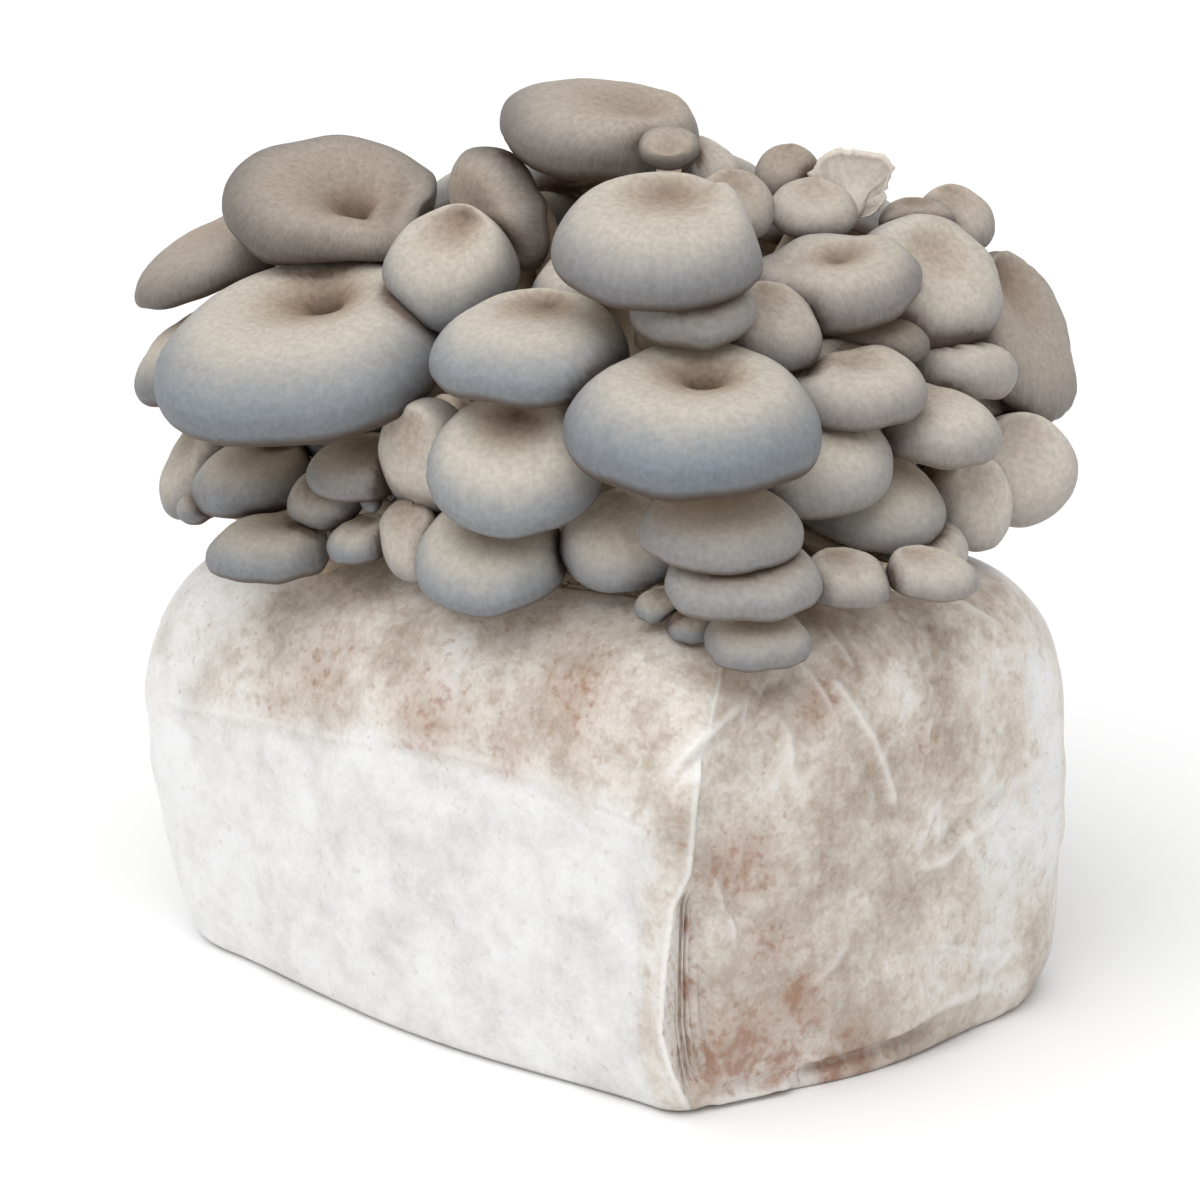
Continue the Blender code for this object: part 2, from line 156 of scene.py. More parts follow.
def node(tree, kind, inputs=None, stops=(), out=0, **settings):
    """Add a shader node with its settings and inputs, and return its output of that name or number.

    stops are a colour ramp's (place, hex colour) pairs; a new ramp has two of its own to fill.
    """
    new = tree.nodes.new("ShaderNode" + kind)
    for key, value in settings.items():
        setattr(new, key, value)
    fill(tree, new, inputs or {})
    for index, (place, hex_code) in enumerate(stops):
        stop = new.color_ramp.elements[index] if index < 2 else new.color_ramp.elements.new(place)
        stop.position, stop.color = place, colour(hex_code)
    return new.outputs[out]


def new_material(name):
    """An empty Principled material: returns it, its tree and its shader."""
    material = bpy.data.materials.new(name)
    material.use_nodes = True
    return material, material.node_tree, material.node_tree.nodes["Principled BSDF"]


# %% [markdown]
# ## Mushroom flesh
# A cap's skin is dry, satin and faintly fibrous. Its colour follows the cap: brown-grey in the pit,
# deepened there by painted shade, cream on the crest, blue-grey at the rim, which is youngest, greying
# further down the rim as painted shade and ending in a painted shade line at the edge, then cream gills and
# a white stalk, both painted darker as shade under the caps.
# Each point carries `ring`, its place on that way from pit to root, `blue`, how blue its rim is,
# and `grain`, a place on a drum round the cap. Noise on that drum is stretched along it, which
# draws the fine radial fibres without a seam.

# %% Colours along a mushroom
# Stops of the ramps over `ring`: the pit with its painted shade, three kinds of crest and rim with painted
# shade down the rim, then margin, gills and stalk, painted darker as shade under the caps.
# Painted shade: the darkest browns of the pit stand in for the shade in its hollow, over the pit's own
# brown.
PIT_AND_SHADE_STOPS = [(0.0, "#514238"), (0.02, "#715e50"), (0.055, "#978472"), (0.1, "#b2a392")]
# In the cream, slate and taupe ramps the grey that deepens down the rim is partly the cap's own colour and
# partly painted shade where the rim turns down, and their last, darkest stops are a painted shade line at
# the edge; the taupe ramp starts with its own pit browns, deepened by painted shade likewise.
CREAM_STOPS = [
    (0.150, "#c3bbad"), (0.215, "#c4beb2"), (0.250, "#b9b3ab"), (0.280, "#a8a39e"), (0.305, "#95918f"),
    (0.324, "#848181"), (0.340, "#6c6460"), (0.354, "#584940"),
]
SLATE_STOPS = [
    (0.150, "#c3bbad"), (0.215, "#c3bdb2"), (0.250, "#b5b1aa"), (0.275, "#a3a3a1"), (0.298, "#92979a"),
    (0.320, "#848b92"), (0.334, "#767b81"), (0.344, "#64605d"), (0.355, "#54473f"),
]
TAUPE_STOPS = [
    (0.0, "#4e3f35"), (0.02, "#6a5749"), (0.055, "#887564"), (0.1, "#a09284"), (0.160, "#a89b8d"),
    (0.220, "#a69b8e"), (0.260, "#9c9289"), (0.290, "#8d867e"), (0.320, "#7b756f"), (0.338, "#665d57"),
    (0.354, "#54473f"),
]
# Painted shade: the dark stop at the margin is the rim's shaded edge seen from below, and the gills and
# stalk are a darker cream than their own, as in the shade under the caps.
UNDERSIDE_AND_SHADE_STOPS = [
    (0.397, "#554439"), (0.41, "#9a8673"), (0.46, "#c4b09b"), (0.6, "#cdbca6"), (1.0, "#d2c2ad"),
]


# %% Material: mushroom flesh
def flesh_material():
    """Satin cap skin, gills and stalk in one, coloured by the point's place on the mushroom, with painted
    shade in the pit, down the rim and under the caps, and browned by moisture and painted shade where caps
    touch.
    """
    material, tree, shader = new_material("oyster mushroom flesh, satin skin")
    ring, blue, tone, pale, moisture_and_shade = [
        node(tree, "Attribute", out="Fac", attribute_name=name)
        for name in ("ring", "blue", "tone", "pale", "moisture_and_shade")
    ]
    grain = node(tree, "Attribute", out="Vector", attribute_name="grain")
    place = node(tree, "TexCoord", out="Object")

    # The zones run into each other in soft mottles of about 4 mm; the rim's own line stays sharp.
    blotch = node(tree, "TexNoise", {"Vector": place, "Scale": 260.0, "Detail": 5.0})
    shift = node(tree, "MapRange", {"Value": blotch, "To Min": -0.02, "To Max": 0.02})
    inner = {"Value": ring, "From Min": 0.29, "From Max": 0.33, "To Min": 1.0, "To Max": 0.1}
    inner = node(tree, "MapRange", inner)
    along = node(tree, "Math", {0: shift, 1: inner, 2: ring}, operation="MULTIPLY_ADD")
    cream, slate, taupe = [
        node(tree, "ValToRGB", {0: along}, stops + UNDERSIDE_AND_SHADE_STOPS)
        for stops in (PIT_AND_SHADE_STOPS + CREAM_STOPS, PIT_AND_SHADE_STOPS + SLATE_STOPS, TAUPE_STOPS)
    ]
    skin = cream
    for share, other in ((blue, slate), (tone, taupe), (pale, colour("#dad1c6"))):
        skin = node(tree, "Mix", {0: share, 6: skin, 7: other}, out=2, data_type="RGBA")

    # Fine hairs run out from the pit, about 0.4 mm apart; frost is a bloom of 2 mm specks; and where caps
    # press on or come near each other the skin is browned, partly as moisture and partly as painted shade
    # between them.
    fibres = node(tree, "TexNoise", {"Vector": grain, "Scale": 3.4, "Detail": 4.0})
    frost = node(tree, "TexNoise", {"Vector": place, "Scale": 520.0, "Detail": 4.0})
    hairs = node(tree, "ValToRGB", {0: fibres}, [(0.34, "#e0dcd8"), (0.62, "#ffffff")])
    bloom = node(tree, "ValToRGB", {0: frost}, [(0.34, "#dddcdc"), (0.64, "#ffffff")])
    haired = node(tree, "MapRange", {"Value": tone, "To Min": 0.22, "To Max": 0.95})
    for share, tint in ((haired, hairs), (0.6, bloom), (moisture_and_shade, colour("#755643"))):
        tinted = {0: share, 6: skin, 7: tint}
        skin = node(tree, "Mix", tinted, out=2, data_type="RGBA", blend_type="MULTIPLY")

    rough = node(tree, "MapRange", {"Value": blotch, "To Min": 0.42, "To Max": 0.62})
    relief = node(tree, "Math", {0: fibres, 1: frost}, operation="ADD")
    bump = node(tree, "Bump", {"Height": relief, "Strength": 0.2, "Distance": 0.0005})
    fill(tree, shader, {
        "Base Color": skin, "Roughness": rough, "Normal": bump, "IOR": 1.4, "Specular IOR Level": 0.35,
        "Subsurface Weight": 0.12, "Subsurface Radius": (0.006, 0.004, 0.003), "Subsurface Scale": 1.0,
    })
    return material


flesh = flesh_material()
print("material:", flesh.name)

# %% [markdown]
# ## Where each mushroom is
# The bouquet is laid out facing the viewer: across is to the right, toward is out over the near
# corner of the bag, up is height above the table, all in mm, to the middle of the cap. The angles
# are in degrees. Each mushroom sits where its solid does, some turned or moved by a few mm to look
# as in the photo. EXTRAS are small ones that fill gaps and have no solid.

# %% Table of mushrooms
Mushroom = namedtuple(
    "Mushroom", "name looks across toward up width reach thick lean heading pit stalk turn pit_side roll",
    defaults=(0, 0, 0),
)
# blue: how slate-blue the rim is; tone: how taupe the whole is; dish and hole: how deep the hollow and the
# pit are, in cap thicknesses; pale: how near to plain cream it is; pit_back: how much further back the pit
# lies; core: 0 has the pit's full brown with its painted shade, and the more the less; ruffle, wavy and
# scallop: the unevenness of the crest, of the rim, and its fine notches; moist: how brown it is where it
# touches others, as moisture and as painted shade between them.
Looks = namedtuple(
    "Looks", "blue tone dish pale pit_back core ruffle wavy scallop hole moist",
    defaults=(0.7, 0.1, 0.16, 0.05, 0.3, 0.27, 0.05, 0.02, 0.002, 0, 0.85),
)


def read_table(text):
    """A mushroom for each line: its place, then its looks after a bar. Left out means as usual."""
    mushrooms = []
    for place, _, looks in (line.partition("|") for line in text.splitlines()):
        name, *numbers = place.split()
        mushrooms.append(Mushroom(name, Looks(*map(float, looks.split())), *map(float, numbers)))
    return mushrooms


MUSHROOMS = read_table("""\
big_left -101 19 219 95 92 25 17 -40 .36 9 | 1 0 .24 0 0 0 .03 .012 0 .45
upper_left -91 -29 252 70 67 17 21 -20 -.35 8 0 .42 -8 | .1 .9 .34 0 0 0 .04 .015 0 .4
far_left -134 -58 225 60 58 13 22 -80 .5 7 | .1 .9 .35
left_shoulder -141 -33 199 43 43 17 27 -75 .4 6 | .8 .35 .05 0
mid_left -53.5 30 239 42 41 17 41 -20 .35 7 0 .12 | .65 .15 .22 .05 .45 .12
tall_oval -44 5 246 41 35 15 85 -50 .4 5 -15 | .1 1 .02 .05 -.35
crown -4 -9 279.5 65 55 18 12 0 -.1 8 0 .45 -7 | 0 .7 .14 0 0 .27 .05 .03
crown_bud 16 19 272 19 17 6 -33 180 .7 3 | .2 .8 .02
upper_middle 12 75 261 63 56 20 18 0 .45 8 0 .15 | .5 .15 .2 .05 .15 .15 .04 .02 0
tucked_pale -12 27 235 35 33 11 22 -30 .4 5 0 0 10 | .3 .2 .05 .3
under_upper_middle 23 81 240 37 31 14 15 10 .4 6 | .4 .1 .05 .15
middle_left -27 69 227 60 57 18 9 -20 .45 8 | .9 0 .2 .05 .3 .1 .04 .02 .002 .06
big_middle 22 105 217.5 75 72 23 12 0 .28 9 0 .1 | 1 0 .22 0 0 0 .03 .012 0 .45
middle_right 48 63 228 32 31 14 29 25 .4 6 | .2 .4 .08
right_ruffle 68 35 239 49 43 16 17 10 .25 7 0 0 8 | .2 .4 .3 .1 0 .1 .06 .02 .004 .1
right_dome 101 12 231 54 48 18 44 33 .3 7 | .1 .05 .1 .1 0
right_fan 135 -22 203 63 56 13 57 60 .6 8 | 0 .7 .3 .05 .3 .1 .08 .03 .008 .1
upper_right_lobe 37 30 256 27 24 9 44 20 .3 4 | .1 .6 .05
upper_right 61 2 250 29 26 8 23 0 .3 4 | 0 .45 .06 .2
curled_back 73 -16 251 29 21 5 -100 0 .5 3 | 0 0 .2 1 .3 .27 .1 .1 .03 0 .1
right_top_back 110 -26 241 27 25 9 34 30 .4 4 | 0 .5 .05
right_fold 73 64 212 43 39 13 16 20 .5 6 | .1 .15 .3 .15 0 .27 .06 .02 0
right_ledge 109 17 210.5 39 35 16 14 60 .5 6 | .1 .1 .08 .3
right_pillow 100 51 196 39 36 14 12 40 .5 6 8 | .15 0 .03 .25
right_big_shelf 58 78 194 54 45 16 24 20 .5 6 6 | .3 0 .06 .2
right_low_shelf 79 61 175 47 43 13 22 30 .5 6 | .25 0 .06 .2
far_right_round 128 14 168 41 35 14 60 12 .5 6 | 0 0 .02 .4 .3 .27 .03
right_low_round 114 37 164 29 30 12 55 35 .5 5 | 0 0 .02 .4
right_bottom 94 92 158.5 30 27 7 12 45 .5 3.5 -3 | .1 .1 .15 .2 .3 .27 .05 .02 .006
right_front_bottom 68 102 160 28 25 8 17 25 .5 4 2 | .1 .1 .1 .15 .3 .27 .05 .02 .006
front_shelf 30 112 181 48 42 12 13 5 .5 6 | .5 0 .05 .15 .6 .27 .05 .015 .003 0 .3
front_low_shelf 37 118 167.5 46 39 12 12 10 .5 5 6 | .5 0 .05 .15 .3 .27 .05 .015 .003
front_bottom 41 124 149 31 25 9 20 10 .8 4 13 | .4 .1 .16 .1 0 .27 .05 .03 .006
front_left_shelf 0 90 168 37 32 12 44 -10 .5 6 -10 | .6 .05 .05 .05 .3 .27 .05 .015 .003
front_pillow -32 88 193.5 53 48 17 39 -15 .5 7 | 1 0 .12 .1 .12 .08 .03 .015 .002 .05
beside_pillow -63 59 181.5 35 35 13 82 -40 .4 5 | .3 .1 .03 .2 .3 .27 .05 .02 .002 0 .5
front_bottom_left -39 82 163 48 43 13 30 -20 .5 6 | .8 0 .16 .05 .35 .27 .05 .015
left_under -117 -2 166 44 38 14 14 -50 .5 6 -4
left_edge -142 -32 158 35 35 13 53 -70 .4 5 -6 | .4 .3 .05
left_bottom -109 32 152 41 37 12 8 -45 .8 4 -8 | .8 .1 .16 .05 0 .27 .05 .015 .005
left_inner -79 37 177 37 29 10 16 -30 .5 5 10 | .5 .2 .1 .1
left_inner_low -92 31 165 26 25 9 30 -40 .5 4 5 | .5 .3 .1
back_high_left -39 -47 235 70 62 18 26 205 .3 8
back_high 1 -54 255 64 58 17 24 180 .3 8
back_high_right 44 -44 237 60 56 16 30 150 .3 7
back_left -89 -92 220 60 58 17 28 220 .35 8
back_upper_left -40 -108 232 61 60 17 34 195 .35 7
back_upper_right 24 -100 238 68 60 18 34 172 .35 7
back_right 81 -75 228 64 58 17 38 148 .35 7
back_far_left -118 -86 180 58 50 16 34 230 .4 7
back_middle_left -59 -112 193 66 58 18 36 205 .4 7
back_middle -2 -122 209 72 62 19 38 183 .4 8
back_middle_right 56 -104 197 64 56 17 42 158 .4 7
back_far_right 107 -69 193 56 50 15 48 125 .4 7
back_low_left -92 -108 162 46 40 13 36 215 .45 5
back_low -36 -126 165 52 44 14 36 192 .45 6
back_low_right 26 -126 167 50 44 14 38 172 .45 6
""")
EXTRAS = read_table("""\
top_right_bud 53 -18 257 22 19 9 35 -20 .5 3 | 0 .9 .02
left_bottom_bud -80 46 156 22 20 8 18 -40 .5 3
right_low_inner 95 63 160 28 25 9 25 30 .5 3 | .1 0 .05 .4
low_left_sliver -64 62 158 25 27 9 72 -30 .5 3 | .3 .2 .03 .2 .3 .27 .05 .02 .002 0 .6
behind_crown 32 -20 259 24 22 8 33 60 .5 3 | 0 .3 .02 .5
right_top_shelf 95 -14 243 25 21 6 12 10 .5 3 | 0 .8 .25
left_gap_back -98 -16 178 40 34 12 20 -20 .5 4
left_gap_inner -84 8 187 32 28 11 20 -20 .5 4
right_gap_back 84 16 184 40 34 13 25 30 .5 4
right_gap_low 93 22 172 30 27 11 30 35 .5 4
right_gap_far 121 -6 183 34 30 11 35 45 .5 4 | 0 .1 .05 .3
behind_right_fold 78 36 217 37 28 9 10 10 .3 4 | 0 1 .2 0
middle_gap -63 22 196 26 24 9 40 -10 .5 3 | 0 .5 .05 .1
under_front_left 22 110 147 16 14 5 20 -10 .5 3
under_front_left_top 13 104 151 17 14 5 20 -15 .5 3
left_low_small -134 -4 153 18 16 7 25 -60 .5 3
middle_low_small -67 54 170 17 16 8 60 -30 .5 3
middle_low_bud -76 46 168 13 12 6 60 -40 .5 2.5
""")
print("mushrooms:", len(MUSHROOMS), "with a solid of their own,", len(EXTRAS), "tiny ones")

# %% [markdown]
# ## The directions of a cap
# A cap faces its heading and leans that way, like a plate tipped towards the light. Three crossed
# directions say how it lies: forward to its front rim, normal out of its top, and left.

# %% Directions
FOOT = np.array([0, 0, 149 * MM])
BASE_SIZE = np.array([78, 50, 75]) * MM
LEAST_SEAT_RISE = 0.14
LEAST_DESCENT = 0.15


def layout(across, toward, up):
    """A point or direction of the bouquet's layout in the model's own axes."""
    return np.array([
        across * math.cos(AZIMUTH) + toward * math.sin(AZIMUTH),
        across * math.sin(AZIMUTH) - toward * math.cos(AZIMUTH),
        up,
    ])


def unit(vector):
    """The vector at length one, along the last axis."""
    return vector / np.linalg.norm(vector, axis=-1, keepdims=True)


def cap_directions(mushroom):
    """Left, forward and normal: out of the heading and up, tipped by the lean, then rolled."""
    heading, lean, roll = np.radians([mushroom.heading, mushroom.lean, mushroom.roll])
    out = layout(math.sin(heading), math.cos(heading), 0)
    side = np.cross(out, UP)
    forward = out * math.cos(lean) - UP * math.sin(lean)
    normal = (UP * math.cos(lean) + out * math.sin(lean)) * math.cos(roll) + side * math.sin(roll)
    return np.cross(forward, normal), forward, normal


def seat_on_base(neck, turn):
    """Where the stalk from that neck stands on the fused base, an ellipsoid round FOOT.

    The line from the foot to the neck is turned about the upright, kept from lying flat, and cut
    at the length where (x/a)^2 + (y/b)^2 + (z/c)^2 is one.
    """
    line = neck - FOOT
    turn = math.radians(turn)
    line = np.array([
        line[0] * math.cos(turn) - line[1] * math.sin(turn),
        line[0] * math.sin(turn) + line[1] * math.cos(turn),
        line[2],
    ])
    line[2] = max(line[2], LEAST_SEAT_RISE * math.hypot(line[0], line[1]))
    return FOOT + line / np.linalg.norm(line / BASE_SIZE)


# %% [markdown]
# ## One mushroom as a surface
# A cap is a section turned round the pit, but its rim is an off-centre oval, so each ring lies
# between the pit and the rim: pit + share * (rim - pit), lifted along the normal. The stalk's rings
# are circles along a bent line. Both are key rings of one long surface, and a Catmull-Rom curve
# through them, column by column, joins cap, gills and stalk without an edge.

# %% Key rings
# (share of the way from the pit to the rim, height in cap thicknesses), from the pit outwards.
TOP_SHARES = [0.015, 0.045, 0.08, 0.13, 0.21]
CREST_SECTION = [(0.32, 0), (0.46, 0), (0.60, -0.02), (0.74, -0.10), (0.86, -0.24), (0.95, -0.43)]
RIM_SECTION = [(0.99, -0.59), (1.0, -0.76), (0.985, -0.89), (0.955, -0.97), (0.92, -1.0)]
GILL_SECTION = [(0.89, -0.965), (0.85, -0.90), (0.74, -0.86), (0.60, -0.87), (0.45, -0.94)]
DISH_WIDTH, HOLE_WIDTH = 0.34, 0.095
NECK_DEPTH = 1.15
STALK_STEPS = np.array([0, 0.25, 0.5, 0.75, 1.0])
NECK_FLARE, STALK_TAPER = 1.3, 0.55
GILL_HEIGHT = 0.8 * MM
COLUMNS_PER_MM, LEAST_COLUMNS = 0.83, 14  # of half a ring
HEART_DEPTH = 0.8
GRAIN_SIZE, GRAIN_LENGTH = 0.55, 9
FURTHEST_PIT = 0.85


def cap_section(dish, hole):
    """The shares and heights of the cap's key rings.

    From the dome's height each top ring sinks by dish * exp(-(share / 0.34)^2), a broad hollow,
    and by hole * exp(-(share / 0.095)^1.5), the narrow pit in it.
    """
    top = [(share, 0.0) for share in TOP_SHARES] + CREST_SECTION
    shares, heights = np.array(top + RIM_SECTION + GILL_SECTION).T.copy()
    upper = slice(0, len(top))
    heights[upper] -= dish * np.exp(-((shares[upper] / DISH_WIDTH) ** 2))
    heights[upper] -= hole * np.exp(-((shares[upper] / HOLE_WIDTH) ** 1.5))
    return shares, heights


def waves(turns, rng, orders, size):
    """A gentle unevenness round the cap: a sum of cosines of the given orders, random in phase."""
    phases = rng.uniform(0, math.tau, len(orders))
    sizes = rng.uniform(0.4, 1.0, len(orders)) * size / np.sqrt(np.arange(1, len(orders) + 1))
    return (sizes[:, None] * np.cos(np.outer(orders, turns) + phases[:, None])).sum(axis=0)


def smooth_step(value, start, width):
    """0 up to the start, 1 a width further on, 3t^2 - 2t^3 between; it falls where width is below 0."""
    t = np.clip((value - start) / width, 0, 1)
    return t * t * (3 - 2 * t)


def bell(distance, width):
    """exp(-(distance / width)^2)."""
    return np.exp(-((distance / width) ** 2))


def turn_away(turns, angle):
    """How far each of the turns, in radians, is from the angle, in degrees from -180 to 180."""
    return (np.degrees(turns) - angle + 180) % 360 - 180


def catmull_rom(keys, steps):
    """Rows on a smooth curve through the key rows, with `steps` rows for each span.

    Between keys b and c, with a before and d after, the curve is
    b + t/2 * (c - a) + t^2 * (a - 5b/2 + 2c - d/2) + t^3 * (3b - a - 3c + d)/2.
    """
    place = np.concatenate([np.arange(0, len(keys) - 1, 1 / steps), [len(keys) - 1]])
    b = np.minimum(place.astype(int), len(keys) - 2)
    t = (place - b).reshape(-1, *[1] * (keys.ndim - 1))
    a, c, d = np.maximum(b - 1, 0), b + 1, np.minimum(b + 2, len(keys) - 1)
    ka, kb, kc, kd = keys[a], keys[b], keys[c], keys[d]
    square = ka - 2.5 * kb + 2 * kc - 0.5 * kd
    cube = (3 * kb - ka - 3 * kc + kd) / 2
    return kb + t / 2 * (kc - ka) + t**2 * square + t**3 * cube


# %% [markdown]
# ## Unevenness and fit
# No two caps are alike: the rim is a little wavy, the crest a little lumpy, each from a few random
# cosines with a seed of its own. Where a mushroom meets one made before it, it gives way: its
# points are drawn back towards its heart until they are clear, as growing caps do.

# %% Lips and lobes of single mushrooms
# Where the rim turns up to a thin lip, as (angle, width, rise), and where it reaches out or draws in,
# as (angle, width, share), in degrees: 0 is the cap's left and 90 its front.
BENDS = {
    "upper_left": [(168, 22, 0.42), (200, 22, 0.3)],
    "upper_middle": [(185, 18, -0.3)],
    "right_ruffle": [(340, 30, 0.4), (270, 50, 0.25)],
    "right_fold": [(345, 30, 0.55), (280, 40, 0.5)],
}
PULLS = {
    "big_left": [(160, 30, 0.15)],
    "upper_left": [(136, 20, 0.3), (168, 14, -0.03)],
    "tall_oval": [(130, 34, 0.22), (310, 34, 0.22), (40, 34, -0.2), (220, 34, -0.2)],
    "right_ruffle": [(345, 16, 0.12)],
    "right_fold": [(348, 15, 0.42)],
}

# %% Pressing against neighbours
# Shares of the way to the rim, and the heights of the top and the underside there, in thicknesses.
FELT_TOP = [0, 0.1, 0.3, 0.46, 0.74, 0.86, 0.95, 1], [-0.5, -0.3, -0.05, 0, -0.1, -0.24, -0.43, -0.7]
FELT_UNDERSIDE = [0, 0.45, 0.74, 0.92, 0.97, 1.0], [-1.1, -0.94, -0.86, -1.0, -0.95, -0.8]
LEAST_SHARE, HALVINGS, SOFTENING_PASSES = 0.33, 9, 6


class Form:
    """A finished mushroom, as the others feel it: inside() says which points it holds."""

    def __init__(self, mushroom, pit, middle, axes, stalk_line):
        self.left, self.forward, self.normal = axes
        self.pit, self.middle, self.stalk_line = pit, middle, stalk_line
        self.half = np.array([mushroom.width, mushroom.reach]) * MM / 2
        self.offset = np.array([(middle - pit) @ self.left, (middle - pit) @ self.forward])
        self.thick, self.stalk_radius = mushroom.thick * MM, mushroom.stalk * MM
        self.reach = 1.1 * self.half.max() + self.thick

    def inside(self, points, clearance=0.5 * MM):
        """Which points lie in the cap or the stalk.

        A ring of share s is an oval with its middle at s times the offset and half-axes s times
        the cap's, so s solves A s^2 - 2 B s + C = 0. The point is inside where s is under one
        and its height is between the section's underside and top.
        """
        from_pit = points - self.pit
        u, v = from_pit @ self.left, from_pit @ self.forward
        (cu, cv), (a, b) = self.offset, self.half + clearance
        quad = (cu / a) ** 2 + (cv / b) ** 2 - 1
        linear = u * cu / a**2 + v * cv / b**2
        constant = (u / a) ** 2 + (v / b) ** 2
        share = (linear - np.sqrt(np.maximum(linear**2 - quad * constant, 0))) / quad
        height = from_pit @ self.normal
        top, bottom = [np.interp(share, *side) * self.thick for side in (FELT_TOP, FELT_UNDERSIDE)]
        held = (share < 1) & (height < top + clearance) & (height > bottom - clearance)
        away = np.linalg.norm(points[..., None, :] - self.stalk_line, axis=-1).min(axis=-1)
        return held | (away < self.stalk_radius + clearance)


def held_by(forms, points):
    """Which of the points any of the forms holds."""
    held = np.zeros(len(points), bool)
    for form in forms:
        held |= form.inside(points)
    return held


def give_way(rows, anchor_rows, forms):
    """Draw points towards their anchors until they are clear of every form.

    Each point sits at anchor + share * (point - anchor). Halving steps find the largest share, up
    to one, at which the point is outside all the forms; no share goes under a third. Then each
    share comes down to the mean of its neighbours', so that dents have soft edges.
    """
    points, anchors = rows.reshape(-1, 3), anchor_rows.reshape(-1, 3)
    touched = held_by(forms, points)
    start, arm = anchors[touched], (points - anchors)[touched]
    low, high = np.full(len(arm), LEAST_SHARE), np.ones(len(arm))
    for _ in range(HALVINGS):
        middle = (low + high) / 2
        held = held_by(forms, start + arm * middle[:, None])
        low, high = np.where(held, low, middle), np.where(held, middle, high)
    share = np.ones(rows.shape[:2])
    share[touched.reshape(share.shape)] = low
    for _ in range(SOFTENING_PASSES):
        share = np.minimum(share, (np.roll(share, 1, axis=1) + np.roll(share, -1, axis=1)) / 2)
        share[1:-1] = np.minimum(share[1:-1], (share[:-2] + share[2:]) / 2)
    return anchor_rows + (rows - anchor_rows) * share[..., None]


# %% Build one mushroom
def stalk_rings(neck, root, normal, left, turns, radius, thick):
    """Circles along a bent line from the neck to the root: returns the rings and their middles.

    The line is a quadratic Bezier curve that leaves the cap along its normal; each circle is
    square to the line, and its radius shrinks from the flared neck to the root.
    """
    chord = unit(root - neck)
    leaving = unit(chord * max(0, LEAST_DESCENT + normal @ chord) - normal)
    bend = neck + leaving * min(1.1 * thick, 0.45 * np.linalg.norm(root - neck))
    share = STALK_STEPS[:, None]
    middles = (1 - share) ** 2 * neck + 2 * share * (1 - share) * bend + share**2 * root
    along = unit((1 - share) * (bend - neck) + share * (root - bend))
    aside = unit(left - along * (along @ left)[:, None])
    ahead = np.cross(aside, along)
    circle = np.cos(turns)[:, None] * aside[:, None] + np.sin(turns)[:, None] * ahead[:, None]
    radii = radius * (NECK_FLARE - STALK_TAPER * share)
    return middles[:, None] + radii[:, None] * circle, middles


def lay_out(mushroom):
    """Where the mushroom's neck and root are, and its form as the others feel it."""
    left, forward, normal = axes = cap_directions(mushroom)
    thick, radius = mushroom.thick * MM, mushroom.stalk * MM
    middle = layout(mushroom.across, mushroom.toward, mushroom.up) * MM
    pit_share = min(mushroom.pit + mushroom.looks.pit_back, FURTHEST_PIT)
    pit = middle - forward * mushroom.reach * MM / 2 * pit_share
    pit = pit - left * mushroom.width * MM / 2 * mushroom.pit_side
    neck = pit - normal * thick * NECK_DEPTH
    root = seat_on_base(neck, mushroom.turn)
    _, line = stalk_rings(neck, root, normal, left, np.zeros(1), radius, thick)
    return neck, root, Form(mushroom, pit, middle, axes, line)


# How brown the skin is, as moisture and painted shade, at these distances from a neighbour, in mm.
MOISTURE_AND_SHADE_STEPS = [(5.0, 0.12), (3.4, 0.3), (2.2, 0.55), (1.3, 0.9)]


def moisture_and_shade_share(points, forms):
    """How close each point is to the nearest form, as its share of brown moisture and painted shade: 0 from
    5 mm away, 0.9 where it touches.
    """
    share = np.zeros(len(points))
    for clearance, value in MOISTURE_AND_SHADE_STEPS:
        for form in forms:
            share[form.inside(points, clearance * MM)] = value
    return share


def ring_value(way, cap_keys, shares, core):
    """Place on the way from pit to root.

    It is a third of the share as far as the widest ring, 0.4 at the margin, 0.6 where the gills end on the
    stalk, and 1 at the root. A core above 0 leaves out the pit's brown with its painted shade, and moves
    the rim's colours, with their painted shade, further out.
    """
    widest = len(TOP_SHARES) + len(CREST_SECTION) + 1
    margin = cap_keys - len(GILL_SECTION) - 1
    share = np.interp(way, np.arange(cap_keys), shares)
    top = 0.33 * (core + (1 - core) * share ** (1 + 3.4 * core))
    keys = [widest, margin, cap_keys, cap_keys + len(STALK_STEPS) - 1]
    return np.where(way < widest, top, np.interp(way, keys, [0.33, 0.4, 0.6, 1.0]))


def cap_rings(mushroom, own, turns, rng):
    """The shares of the cap's key rings, how far the first is lifted, and the rings themselves."""
    looks = mushroom.looks
    swell = 1 + waves(turns, rng, [2, 3, 4, 5], looks.wavy)
    swell = swell + waves(turns, rng, [13, 19, 23, 29], looks.scallop)
    for angle, width, share in PULLS.get(mushroom.name, []):
        swell = swell + share * bell(turn_away(turns, angle), width)
    half_width, half_reach = own.half
    rim = own.middle + np.outer(half_width * swell * np.cos(turns), own.left)
    rim = rim + np.outer(half_reach * swell * np.sin(turns), own.forward)
    shares, heights = cap_section(looks.dish, looks.hole)
    lumps = waves(turns, rng, [2, 3, 5, 6, 9], looks.ruffle)
    bends = BENDS.get(mushroom.name, [])
    turned_up = sum(rise * bell(turn_away(turns, angle), width) for angle, width, rise in bends)
    lip = shares**6 - 0.8 * bell(shares - 0.62, 0.24)
    lift = (heights[:, None] + lumps * shares[:, None] ** 2 + turned_up * lip[:, None]) * own.thick
    rings = own.pit + shares[:, None, None] * (rim - own.pit) + lift[..., None] * own.normal
    return shares, lift[0].mean(), rings


